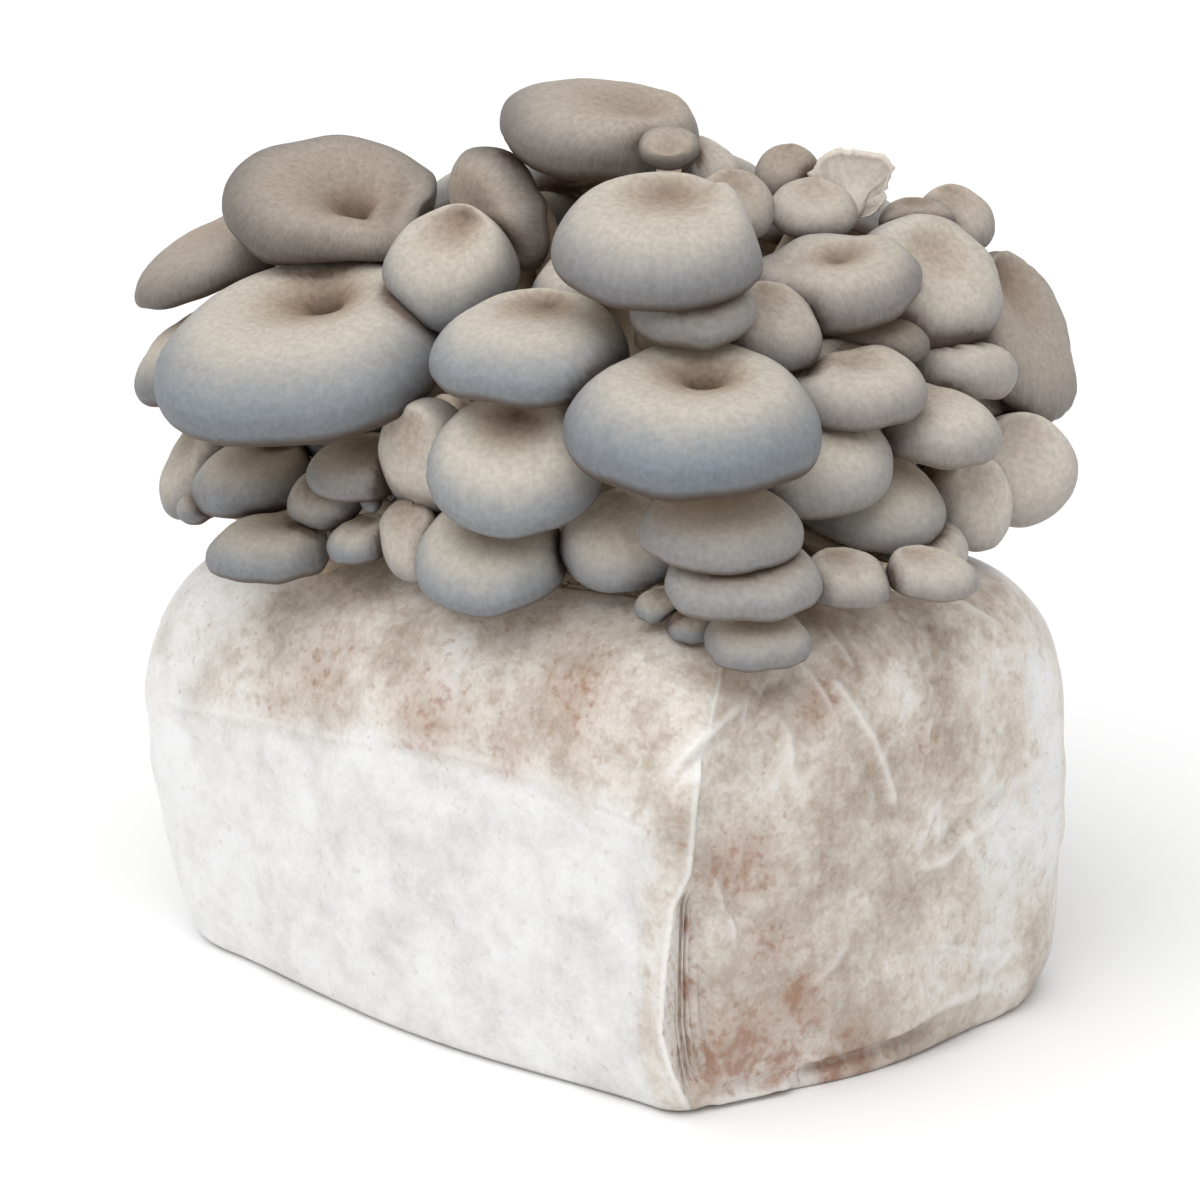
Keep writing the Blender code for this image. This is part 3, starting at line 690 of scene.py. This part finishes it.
def make_mushroom(mushroom, seed, places, material):
    """The cap's key rings and the stalk's, smoothed, given gills, and pressed against neighbours."""
    rng, looks = np.random.default_rng(seed), mushroom.looks
    neck, root, own = places[mushroom.name]
    columns = int(2 * round(mushroom.width * COLUMNS_PER_MM + LEAST_COLUMNS))
    turns = np.arange(columns) * math.tau / columns
    shares, first_lift, cap = cap_rings(mushroom, own, turns, rng)
    stalk, stalk_line = stalk_rings(neck, root, own.normal, own.left, turns, own.stalk_radius, own.thick)
    keys = np.concatenate([cap, stalk])
    rows = catmull_rom(keys, 2)
    way = catmull_rom(np.arange(len(keys), dtype=float)[:, None], 2)[:, 0]

    # Gills are ridges of every second column, from the margin to the stalk.
    ring = ring_value(way, len(cap), shares, looks.core)
    spacing = np.linalg.norm(rows - np.roll(rows, 1, axis=1), axis=-1)
    inner, outer = len(cap) - 5, len(cap) + 2
    window = np.clip(np.minimum((way - inner) / 1.5, (outer - way) / 2.0), 0, 1)
    ridge = np.where(np.arange(columns) % 2, -0.5, 0.5)
    rows -= (window[:, None] * np.minimum(GILL_HEIGHT, 0.7 * spacing) * ridge)[..., None] * own.normal

    # The cap gives way towards its heart, the stalk towards its own line.
    anchors = np.broadcast_to(own.pit - own.normal * own.thick * HEART_DEPTH, rows.shape).copy()
    on_stalk = way > len(cap) - 0.5
    stalk_way = np.clip((way[on_stalk] - len(cap)) / (len(stalk) - 1), 0, 1)
    for axis in range(3):
        anchors[on_stalk, :, axis] = np.interp(stalk_way, STALK_STEPS, stalk_line[:, axis])[:, None]
    within = own.half[0] + 2.5 * own.thick
    near = [
        form for _, _, form in places.values()
        if form is not own and np.linalg.norm(form.middle - own.middle) < form.reach + within
    ]
    rows = give_way(rows, anchors, [form for form in near if form.order < own.order])

    points = capped(own.pit + own.normal * (first_lift - 0.01 * own.thick), rows, root)
    front = np.clip(0.55 + 0.45 * np.sin(turns), 0, 1)
    drum = np.stack([np.cos(turns), np.sin(turns), 0 * turns], axis=-1) * mushroom.width * GRAIN_SIZE
    drum_height = np.repeat(ring, columns)[:, None] * GRAIN_LENGTH + seed * 7
    grain = np.tile(drum, (len(way), 1)) + UP * drum_height
    return add_piece("oyster_" + mushroom.name, points, rows.shape[:2], material, {
        "ring": capped(ring[0], np.repeat(ring, columns), 1.0),
        "blue": capped(0.0, np.tile(front * looks.blue, len(way)), 0.0),
        "grain": capped(grain[0], grain, grain[-1]),
        # Brown moisture and painted shade where this mushroom touches or nears others.
        "moisture_and_shade": looks.moist * moisture_and_shade_share(points, near),
        "pale": np.full(len(points), looks.pale),
        "tone": np.full(len(points), np.clip(looks.tone + rng.uniform(-0.05, 0.05), 0, 1)),
    })


places = {mushroom.name: lay_out(mushroom) for mushroom in MUSHROOMS + EXTRAS}
for order, (_, _, form) in enumerate(places.values()):
    form.order = order  # each gives way to those before it
for seed, mushroom in enumerate(MUSHROOMS + EXTRAS):
    piece = make_mushroom(mushroom, seed, places, flesh)
    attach(piece, "root")
    if mushroom in MUSHROOMS:
        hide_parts("mushroom_" + mushroom.name)
print("mushrooms made:", len(places))

# %% [markdown]
# ## The form of the bag
# Seen from above the bag is a rounded rectangle whose four corners differ; seen from the side it
# draws in towards its base and its crown. So the form is one outline for each height, from a table
# of how far the ends and sides draw in, smoothed by the same Catmull-Rom curve as the caps.

# %% Outlines of the bag
BAG_HALF_LENGTH, BAG_HALF_WIDTH = 136 * MM, 96 * MM
RISE = 0.04  # how much higher each level is at the folded end, as a share
SIDE_BULGE = 8.5 * MM
# height, then how far the outline draws in at the left end, the folded right end and the sides, mm
BAG_LEVELS = np.array([
    (0, 20, 7, 8), (1.2, 17, 5, 6), (5, 14, 3, 4), (22, 8, 1, 2), (50, 3, 0, 0), (80, 0, 0, 0),
    (100, 0, 1, 2), (118, 3, 3, 9), (133, 14, 11, 21), (143, 34, 28, 36), (148, 62, 54, 50),
], dtype=float)
OPENING_ROW = 9  # the film ends at this row of the table
# Corners, counter-clockwise from the near one: which end, which side, the angle where it starts,
# its radius and how far it lies back from the end, in mm, the columns round it and the columns
# along the side after it.
Corner = namedtuple("Corner", "end side start radius back columns side_columns")
CORNERS = [
    Corner(1, -1, -90, 8, 24, 36, 126), Corner(1, 1, 0, 56, 0, 32, 70),
    Corner(-1, 1, 90, 44, 0, 24, 44), Corner(-1, -1, 180, 28, 0, 30, 126),
]


def bag_outlines(levels, density=1.0):
    """Points of the bag's outline for each level: an array of levels x columns x 3."""
    height, left, right, side = levels.T * MM
    half_width = BAG_HALF_WIDTH - side
    arcs = []
    for corner in CORNERS:
        reach = BAG_HALF_LENGTH - (right if corner.end > 0 else left) - corner.back * MM
        radius = np.minimum(corner.radius * MM + 0.4 * side, 0.95 * half_width)
        middle = np.stack([corner.end * (reach - radius), corner.side * (half_width - radius)], axis=-1)
        angles = np.radians(np.linspace(corner.start, corner.start + 90, int(corner.columns * density)))
        circle = np.stack([np.cos(angles), np.sin(angles)], axis=-1)
        arcs.append(middle[:, None] + radius[:, None, None] * circle)
    parts = []
    for arc, next_arc, corner in zip(arcs, arcs[1:] + arcs[:1], CORNERS):
        share = np.linspace(0, 1, int(corner.side_columns * density) + 2)[1:-1, None]
        along = next_arc[:, :1] - arc[:, -1:]
        out = unit(np.stack([along[..., 1], -along[..., 0]], axis=-1))
        parts += [arc, arc[:, -1:] + share * along + out * SIDE_BULGE * np.sin(math.pi * share) ** 1.5]
    plan = np.concatenate(parts, axis=1)
    z = height[:, None] * (1 + RISE * plan[..., 0] / BAG_HALF_LENGTH)
    return np.concatenate([plan, z[..., None]], axis=-1)


def grid_normals(points):
    """Unit normals of a closed grid of rings, from the directions along its rows and columns."""
    round_about = np.roll(points, -1, axis=1) - np.roll(points, 1, axis=1)
    return unit(np.cross(round_about, np.gradient(points, axis=0)))


def even_levels(levels, spacing):
    """Levels on a smooth curve through the table, at even steps along the bag's profile."""
    fine = catmull_rom(levels, 60)
    steps = np.hypot(np.diff(fine[:, 0]), np.abs(np.diff(fine[:, 1:], axis=0)).mean(axis=1))
    way = np.concatenate([[0], np.cumsum(steps)])
    places = np.linspace(0, way[-1], int(way[-1] / spacing) + 1)
    return np.stack([np.interp(places, way, column) for column in fine.T], axis=-1)


# %% Film
FILM_THICKNESS = 1.0 * MM
FILM_ROW_SPACING = 0.95  # mm
WIDEST_LEVEL = np.array([[80.0, 0, 0, 0]])  # a row of the table, where nothing draws in


def film_grid():
    """The smooth film with two coordinates, in mm: u along it from the near corner and the height z.

    u is measured on the outline at mid-height, positive to the right, along the folded end, and
    negative to the left, along the long front face. They meet at the back. The inner wall follows,
    from the opening down; it lies deeper where the folds are.
    """
    levels = even_levels(BAG_LEVELS[: OPENING_ROW + 1], FILM_ROW_SPACING)
    outside = bag_outlines(levels)
    outline = bag_outlines(WIDEST_LEVEL)[0] / MM
    steps = np.linalg.norm(np.roll(outline, -1, axis=0) - outline, axis=-1)
    u = np.concatenate([[0], np.cumsum(steps)[:-1]]) - steps[: CORNERS[0].columns // 2].sum()
    u = np.where(u > steps.sum() / 2, u - steps.sum(), u)
    within = levels[::-12] + np.interp(levels[::-12, :1], [125, 143], [7.0, 1.0]) * np.array([0, 1, 1, 1])
    within[:, 0] = np.maximum(within[:, 0], FILM_THICKNESS / MM)
    shape = outside.shape[:2]
    return outside, np.broadcast_to(u, shape), np.broadcast_to(levels[:, :1], shape), bag_outlines(within)


# %% [markdown]
# ## Folds, creases and clouds of the film
# The film was folded at the near corner: a flat pleat of the front face ends in a free edge there,
# and behind it the film dives into a narrow recess. Elsewhere it is drawn tight over the block, with
# a few long creases and many short ones where it was gathered. Each crease is a line of (u, z)
# points, and the film rises beside it by a bell curve of the distance.

# %% Relief of the film
# The pleat at each height z: where it starts, where its free edge is, and where the recess ends.
FOLD = np.array([
    (0, 0, 2.0, 4.0), (8, -2.5, 0.7, 7.6), (17, -6.0, -2.2, 9.4), (29, -11.5, -4.6, 9.7),
    (48, -15, -3.6, 9.2), (68, -18, -1.8, 6.4), (77, -17, 1.8, 4.2), (90, -14.5, 2.8, 4.0),
    (98, -9.8, 2.9, 4.5), (103, -5.7, 2.9, 5.0), (115, 2.0, 3.0, 5.0),
])
# Long creases: height and width in mm, then u and z of each point. A minus sign is a groove.
CREASES = [list(map(float, row.split())) for row in """\
1.3 1.5 -9 99 -5.7 103 -2.2 109 2.9 115 9 119 18 123
-1.2 2.2 -4 99 -1 105 4 111 10 115 18 119
1.2 1.4 50 128 56 119 61 112 66 105 70 94 73 86 74 78
-1.2 1.8 48 124 53 115 58 108 63 101 67 91 70 84 71 77
.9 1.1 38 131 45 123 51 115 56 111
.9 1.2 28 118 34 110 37 100 36 92
1.3 1.7 133 77 126 71 118 68 104 66 96 62 83 61
-1.5 2 133 81 126 75 116 72 104 70 96 66 84 65
1.1 1.3 96 84 90 78 86 70 84 62
.8 1.1 83 37 97 35 112 29 133 21
1 1.2 10 78 13 66 17 58 18 46
-.8 1.2 13 79 16 67 20 58 21 47
1.4 2.4 70 10 90 12 101 16 116 16 134 13
-5.5 3.4 36 4 56 5 70 5.5 84 7.5 104 10.5
.5 1.4 -224 86 -192 89.5 -166 92 -140 93 -110 98 -78 98 -50 96 -38 92
-.4 1.6 -224 82 -192 86 -166 88 -140 89 -110 94 -78 94 -50 92 -38 88
-.9 1.6 -169 92 -173 66 -175 43 -172 24
.6 1.4 -172 92 -176 66 -178 43 -175 24
1.5 1.8 3 3.5 14 2.8 26 2.6 38 3.2 46 7
-1.2 1.8 4 7.5 14 6.6 26 6.2 36 7
""".splitlines()]
RECESS_DEPTH, SMALL_PLEAT_HEIGHT, SMALL_PLEAT_SPACING = 4.6, 0.9, 3.4
# The faint seam of the front face, as (u, z) points.
SEAM = [(-225, 80), (-166, 92), (-110, 98), (-50, 96), (-20, 90), (0, 86)]


def distance_to_line(u, z, line):
    """Distance in mm from each (u, z) to the nearest point of the line's segments."""
    nearest = np.full(u.shape, np.inf)
    for (u0, z0), (u1, z1) in zip(line, line[1:]):
        along_u, along_z = u1 - u0, z1 - z0
        share = ((u - u0) * along_u + (z - z0) * along_z) / (along_u**2 + along_z**2)
        share = np.clip(share, 0, 1)
        nearest = np.minimum(nearest, np.hypot(u - u0 - share * along_u, z - z0 - share * along_z))
    return nearest


def ripples(points, size, count, seed):
    """Soft unevenness in space: the mean of cosines of random direction and about that wavelength."""
    rng = np.random.default_rng(seed)
    directions = unit(rng.normal(size=(count, 3))) * (math.tau / size * rng.uniform(0.7, 1.5, (count, 1)))
    cosines = np.cos(points @ directions.T + rng.uniform(0, math.tau, count))
    return cosines.sum(axis=-1) * math.sqrt(2 / count)


def fold_relief(u, z):
    """The pleat at the near corner: its relief in mm, a painted highlight along its free edge, and how
    brown its recess is, partly as painted shade.

    The film rises from the pleat's start to its free edge, then drops into the recess, which has
    two small pleats of its own, and comes back to the surface at the recess's end.
    """
    start, edge, end = (np.interp(z, FOLD[:, 0], column) for column in FOLD.T[1:])
    lasts = smooth_step(z, 2, 6) * smooth_step(z, 112, -9)
    rise = 1.0 * smooth_step(u, start, 1.2) + 1.3 * smooth_step(u, start, edge - start + 0.5)
    over = smooth_step(u, edge, 0.5)
    back = smooth_step(u - end, -0.8, 2.2)
    recess = smooth_step(z, 4, 9) * smooth_step(z, 76, -12) * over * (1 - back)
    small_pleats = SMALL_PLEAT_HEIGHT * np.cos(math.tau * (u - edge) / SMALL_PLEAT_SPACING + 0.03 * z)
    relief = lasts * rise * (1 - over) - (RECESS_DEPTH + small_pleats) * recess
    relief -= 0.5 * lasts * over * (1 - back)
    shown = smooth_step(z, 4, 9) * smooth_step(z, 78, -12) * smooth_step(u - edge, -0.5, 0.5) * (1 - back)
    # Painted shade: the recess is browned, more where its small pleats sink deeper, and a thin brown line
    # marks the shaded foot of the pleat's start; the second value returned is a painted highlight along the
    # free edge.
    brown = shown * (0.75 + 0.25 * small_pleats) + 0.3 * lasts * bell(u - start, 0.8)
    return relief, lasts * bell(u - edge + 0.9, 0.7), brown


def short_creases(u, z, count, seed):
    """Many short creases: bent lines of random place and direction, most of them on the folded end."""
    rng = np.random.default_rng(seed)
    relief = np.zeros(u.shape)
    half_round = np.abs(u).max()
    for _ in range(count):
        on_end = rng.random() < 0.5
        middle = rng.uniform(8, 160) if on_end else rng.uniform(-half_round, half_round)
        height = rng.uniform(4, 138)
        angle, bend = rng.uniform(0, math.pi), rng.normal(0, 0.5)
        length, width = rng.uniform(6, 26), rng.uniform(0.7, 1.8)
        size = rng.uniform(0.25, 1.05) * (1.0 if on_end else 0.4) * rng.choice([1, -1])
        steps = np.linspace(-0.5, 0.5, 5) * length
        turn = angle + bend * steps / length * 2
        line = list(zip(middle + steps * np.cos(turn), height + steps * np.sin(turn)))
        near = (np.abs(u - middle) < length) & (np.abs(z - height) < length)
        fading = bell(np.hypot(u[near] - middle, z[near] - height), 0.42 * length)
        relief[near] += size * fading * bell(distance_to_line(u[near], z[near], line), width)
    return relief


def long_creases(u, z):
    """The creases of the table, each fading out over the last 12 mm at its ends."""
    relief = np.zeros(u.shape)
    for height, width, *points in CREASES:
        line = list(zip(points[::2], points[1::2]))
        ends = [smooth_step(np.hypot(u - end_u, z - end_z), 0, 12) for end_u, end_z in (line[0], line[-1])]
        relief += height * np.prod(ends, axis=0) * bell(distance_to_line(u, z, line), width)
    return relief


# %% Film clouds
def patches(u, z, spots):
    """Soft round patches: the largest of the bells round the (u, z, radius, strength) spots."""
    field = np.zeros(u.shape)
    for middle, height, radius, strength in spots:
        field = np.maximum(field, strength * bell(np.hypot(u - middle, z - height), radius))
    return field


WHITE_SPOTS = [
    (140, 60, 34, 0.75), (150, 95, 22, 0.7), (120, 95, 16, 0.35), (100, 40, 26, 0.4), (60, 50, 16, 0.2),
    (128, 20, 22, 0.5), (28, 96, 18, 0.25), (20, 3, 10, 0.7), (40, 3, 8, 0.6), (-8, 60, 14, 0.75),
    (-6, 90, 9, 0.9), (78, 112, 12, 0.3),
]
# Rusty stains of the film, and painted shade: the spots at u 3.5 lie in the pleat's recess, and those at z
# 4 to 7 near u 56 to 82 lie along the groove at the bottom of the folded end.
STAIN_AND_SHADE_SPOTS = [
    (18, 18, 16, 0.9), (34, 10, 12, 0.8), (40, 32, 8, 0.9), (44, 24, 7, 0.8), (20, 76, 12, 0.7),
    (3.5, 40, 5, 1.0), (3.5, 60, 4, 1.0), (3.5, 20, 4, 0.9), (44, 118, 9, 0.6), (90, 96, 10, 0.45),
    (-95, 108, 14, 0.5), (-150, 112, 12, 0.45), (-64, 98, 9, 0.5), (-40, 122, 16, 0.45),
    (60, 14, 10, 0.5), (-165, 96, 8, 0.45), (30, 52, 12, 0.4), (56, 4, 7, 0.9), (68, 5, 7, 0.8),
    (82, 7, 6, 0.5),
]


def film_colour_fields(u, z, points, recess):
    """How white, warm, brown and dusty with sawdust the film is, 0 to 1 at each point, the brown being rust
    stains and painted shade.

    The long front face is white up to a faint seam, the shoulder above it and the folded end are warmer,
    the film that is turned in at the pleat is cream, and the pleat's recess is brown, partly as painted
    shade.
    """
    uneven = ripples(points / MM, 34, 12, 5) * 0.08
    seam = np.interp(u, *zip(*SEAM))
    below = smooth_step(seam - z, -10, 20)
    left_end = smooth_step(u, -175, -40)
    edge = np.interp(z, FOLD[:, 0], FOLD[:, 2])
    on_front = smooth_step(u, edge, -0.6) * smooth_step(u, -275, 25)
    on_end = smooth_step(u, edge, 0.6) * smooth_step(u, 185, -20)
    behind = 1 - on_front - on_end
    white = on_front * (0.50 + 0.24 * below + 0.2 * left_end)
    white += on_end * (0.37 + 0.8 * patches(u, z, WHITE_SPOTS)) + behind * 0.7 + uneven
    warm = on_front * (1 - below) * (1 - 0.7 * left_end) + on_end * 1.0 + behind * 0.5
    stain_and_shade = patches(u, z, STAIN_AND_SHADE_SPOTS) + 0.2 * on_front * (1 - below) + 0.16 * on_end + 0.08 * behind
    stain_and_shade += 0.25 * on_front * bell(seam - z, 1.2) * smooth_step(u, -170, 40)
    turned = on_front * smooth_step(u - edge, -15, 8) * smooth_step(z, 104, -16)
    warm = np.maximum(warm, 0.8 * turned)
    white = (white - 0.14 * turned) * (1 - recess) + 0.75 * recess
    sawdust = warm * (1.05 - white)
    # Painted shade: the pleat's recess is browned as if in shadow.
    stain_and_shade = np.maximum(stain_and_shade, 0.66 * recess)
    return [np.clip(field, 0, 1) for field in (white, warm, stain_and_shade, sawdust)]


# %% Material: film
COOL_STOPS = [(0.0, "#b9b5b1"), (0.35, "#cac7c4"), (0.6, "#d8d6d4"), (0.8, "#e0dfde"), (1.0, "#e6e6e6")]
WARM_STOPS = [
    (0.0, "#98897c"), (0.2, "#b3a69a"), (0.42, "#c6bcb1"), (0.62, "#d6cfc6"), (0.8, "#dedbd7"),
    (1.0, "#e6e5e5"),
]


def film_material():
    """Polythene film, clouded by the white mycelium against it, spotted where sawdust shows, browned by
    rust stains and by painted shade in its recess and bottom groove, with a painted highlight on its
    ridges.
    """
    material, tree, shader = new_material("clouded polythene film, slightly glossy")
    place = node(tree, "TexCoord", out="Object")
    white, warm, stain_and_shade, sawdust, crest_highlight = [
        node(tree, "Attribute", out="Fac", attribute_name=name)
        for name in ("white", "warm", "stain_and_shade", "sawdust", "crest_highlight")
    ]
    # Mycelium grows in clouds of about 25 mm, flakes of 7 mm and grains of 2 mm and less.
    clouds, flakes, grains = [
        node(tree, "TexNoise", {"Vector": place, "Scale": scale, "Detail": 4.0})
        for scale in (40.0, 140.0, 650.0)
    ]
    whiteness = white
    for noise, share in ((clouds, 0.5), (flakes, 0.85), (grains, 0.5)):
        centred = node(tree, "MapRange", {"Value": noise, "To Min": -share / 2, "To Max": share / 2})
        whiteness = node(tree, "Math", {0: whiteness, 1: centred}, operation="ADD")
    cool, rich = [node(tree, "ValToRGB", {0: whiteness}, stops) for stops in (COOL_STOPS, WARM_STOPS)]
    look = node(tree, "Mix", {0: warm, 6: cool, 7: rich}, out=2, data_type="RGBA")

    # Stains are rusty, with ragged edges, and the same brown paints shade in the pleat's recess and in the
    # groove at the bottom; smudges and dots are sawdust against the film.
    ragged = node(tree, "Math", {0: stain_and_shade, 1: flakes}, operation="MULTIPLY")
    rust = {"Value": ragged, "From Min": 0.12, "From Max": 0.62, "To Max": 0.65}
    rust = node(tree, "MapRange", rust)
    look = node(tree, "Mix", {0: rust, 6: look, 7: colour("#9a6c52")}, out=2, data_type="RGBA")
    for mask, weight, scale, start, strength, brown in (
        (sawdust, 0.26, 240.0, 0.64, 0.42, "#a08a76"), (stain_and_shade, 0.34, 330.0, 0.70, 0.6, "#97694f"),
    ):
        dots = node(tree, "TexNoise", {"Vector": place, "Scale": scale, "Detail": 3.0})
        dots = node(tree, "Math", {0: mask, 1: weight, 2: dots}, operation="MULTIPLY_ADD")
        dots = {"Value": dots, "From Min": start, "From Max": start + 0.2, "To Max": strength}
        dots = node(tree, "MapRange", dots)
        look = node(tree, "Mix", {0: dots, 6: look, 7: colour(brown)}, out=2, data_type="RGBA")
    # Painted highlight: the crests of the creases and the pleat's free edge are mixed towards near white,
    # as glints of the film.
    look = node(tree, "Mix", {0: crest_highlight, 6: look, 7: colour("#edebe9")}, out=2, data_type="RGBA")

    gloss = node(tree, "MapRange", {"Value": flakes, "To Min": 0.2, "To Max": 0.48})
    crinkle = {"Vector": place, "Scale": 150.0, "Detail": 4.0, "Distortion": 1.5}
    crinkle = node(tree, "TexNoise", crinkle)
    bump = node(tree, "Bump", {"Height": crinkle, "Strength": 0.45, "Distance": 0.001})
    fill(tree, shader, {
        "Base Color": look, "Roughness": gloss, "Normal": bump, "IOR": 1.51, "Specular IOR Level": 0.45,
        "Subsurface Weight": 0.1, "Subsurface Radius": (0.004, 0.003, 0.002), "Subsurface Scale": 1.0,
    })
    return material


# %% Build the film
SHORT_CREASES = 300
LIP_RISE = 0.0004


def make_film():
    """Outside from the base up to the opening, over the lip, and down the inside.

    Each point moves out along its normal by the sum of the pleat, the creases and the dents.
    """
    outside, u, z, inside = film_grid()
    creases = long_creases(u, z) + short_creases(u, z, SHORT_CREASES, 21)
    dents = 0.7 * ripples(outside / MM, 70, 14, 3) + 0.35 * ripples(outside / MM, 26, 18, 4)
    calm = smooth_step(z, 0, 12) * smooth_step(z, 143, -12) * (1 - 0.8 * bell(u, 9))
    pleat, pleat_edge_highlight, recess = fold_relief(u, z)
    open_film = 1 - np.clip(recess, 0, 1)
    relief = pleat + creases * smooth_step(z, 0, 3) * open_film + dents * calm
    outside = outside + grid_normals(outside) * relief[..., None] * MM
    outside[..., 2] = np.maximum(outside[..., 2], 0)

    fields = film_colour_fields(u, z, outside, recess)
    # Painted highlight on the crests of the creases and on the pleat's free edge.
    fields.append(np.clip(np.maximum(creases * 0.45, pleat_edge_highlight * 0.6), 0, 0.6) * open_film)
    lip = (outside[-1] - grid_normals(outside)[-1] * FILM_THICKNESS / 2)[None] + np.array([0, 0, LIP_RISE])
    rows = np.concatenate([outside, lip, inside])
    attributes = {}
    inner_values = {"white": 0.8, "warm": 0.5, "stain_and_shade": 0.1, "sawdust": 0.2, "crest_highlight": 0.0}
    for field, (key, inner) in zip(fields, inner_values.items()):
        values = np.full(rows.shape[:2], inner)
        values[: len(outside)] = field
        attributes[key] = capped(inner, values, inner)
    points = capped([0, 0, 0], rows, [0, 0, FILM_THICKNESS])
    return add_piece("bag_film_fine", points, rows.shape[:2], film_material(), attributes, flip=True)


film = make_film()
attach(film, "root")
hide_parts("bag_film")
print("film faces:", len(film.data.polygons))


# %% [markdown]
# ## The block
# The block is sawdust that the mycelium has bound. The film hides nearly all of it: only its crown
# shows, in the opening, between the stalks. White mycelium lies over the brown grains there.

# %% Block
BLOCK_FOOT = 5  # mm
BLOCK_DENSITY = 0.36  # its columns as a share of the film's


def block_material():
    """White mycelium in clouds over brown sawdust, matt and coarse."""
    material, tree, shader = new_material("sawdust bound by mycelium, matt")
    place = node(tree, "TexCoord", out="Object")
    clouds, grains = [
        node(tree, "TexNoise", {"Vector": place, "Scale": scale, "Detail": 5.0}) for scale in (120.0, 700.0)
    ]
    thin = node(tree, "Math", {0: clouds, 1: 0.6, 2: grains}, operation="MULTIPLY_ADD")
    look = node(tree, "ValToRGB", {0: thin}, [
        (0.62, "#8a6f57"), (0.70, "#b39a80"), (0.78, "#cfc1ae"), (0.9, "#e2dacf"),
    ])
    bump = node(tree, "Bump", {"Height": thin, "Strength": 0.6, "Distance": 0.001})
    fill(tree, shader, {"Base Color": look, "Normal": bump, "Roughness": 0.9})
    return material


def make_block(material):
    """The block's surface inside the film, a little within it, closed at the top by a point at the stem
    base's foot.
    """
    levels = catmull_rom(BAG_LEVELS, 5)
    levels[:, 1:] += np.interp(levels[:, :1], [125, 143], [8.5, 1.8])
    levels[:, 0] = np.maximum(levels[:, 0], BLOCK_FOOT)
    rows = bag_outlines(levels, BLOCK_DENSITY)
    points = capped([0, 0, BLOCK_FOOT * MM], rows, FOOT)
    return add_piece("substrate_fine", points, rows.shape[:2], material, {}, flip=True)


block = make_block(block_material())
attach(block, "root")
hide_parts("substrate_block")
print("block faces:", len(block.data.polygons))

# %% [markdown]
# ## The fused base
# The stalks of an oyster mushroom cluster are one mass where they leave the block. It is a mound, here the
# upper half of an ellipsoid, with shallow flutes round it.

# %% Stem base
BASE_COLUMNS, BASE_ROWS = 160, 40


def make_stem_base(material):
    """Half an ellipsoid, whose rings (cos t, sin t) swell with the flutes and shrink as they rise."""
    turns = np.arange(BASE_COLUMNS) * math.tau / BASE_COLUMNS
    rng = np.random.default_rng(99)
    rise = np.linspace(0, 0.97, BASE_ROWS) * math.pi / 2
    flutes = 1 + 0.5 * waves(turns, rng, [9, 14, 19, 23], 0.04)
    reach = np.cos(rise)[:, None] * flutes
    rows = np.stack([
        reach * np.cos(turns) * BASE_SIZE[0], reach * np.sin(turns) * BASE_SIZE[1],
        np.sin(rise)[:, None] * BASE_SIZE[2] + 0 * reach,
    ], axis=-1) + FOOT
    points = capped(FOOT, rows, FOOT + UP * BASE_SIZE[2])
    # At ring 0.9 the base takes the stalk's cream, painted darker as shade under the caps.
    looks = {"ring": 0.9, "blue": 0.0, "tone": 0.1, "moisture_and_shade": 0.0, "pale": 0.0}
    attributes = {key: np.full(len(points), value) for key, value in looks.items()}
    attributes["grain"] = points * 1000
    return add_piece("stem_base_fine", points, rows.shape[:2], material, attributes, flip=True)


stem_base = make_stem_base(flesh)
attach(stem_base, "root")
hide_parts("stem_base")

# %% [markdown]
# ## Floor and light
# A pale floor, a wide soft sun and a bright white sky give the even, nearly shadowless look of a product
# photograph.

# %% Floor and light
SKY_ANGLE = 70  # degrees that the patch of sky is wide


def add_floor():
    """A plain pale floor, wide enough to fill the view."""
    mesh = bpy.data.meshes.new("floor")
    mesh.from_pydata([(-6, -6, 0), (6, -6, 0), (6, 6, 0), (-6, 6, 0)], [], [(0, 1, 2, 3)])
    material, tree, shader = new_material("pale studio floor")
    fill(tree, shader, {"Base Color": colour("#f4f4f4"), "Roughness": 0.9})
    mesh.materials.append(material)
    floor = show(bpy.data.objects.new("floor", mesh))


def add_soft_sun(name, tilt, turn, strength):
    """Even light from a wide patch of sky, tilted from overhead towards the front by `tilt`."""
    light = bpy.data.lights.new(name, "SUN")
    light.energy = strength
    light.angle = math.radians(SKY_ANGLE)
    sun = show(bpy.data.objects.new(name, light))
    sun.rotation_euler = (math.radians(tilt), 0, math.radians(turn))


add_floor()
add_soft_sun("overhead light", 25, 10, 2.2)
world = bpy.data.worlds.new("studio")
world.use_nodes = True
sky = {"Color": (1, 1, 1, 1), "Strength": 0.58}
fill(world.node_tree, world.node_tree.nodes["Background"], sky)
bpy.context.scene.world = world
bpy.context.scene.view_settings.view_transform = "Standard"
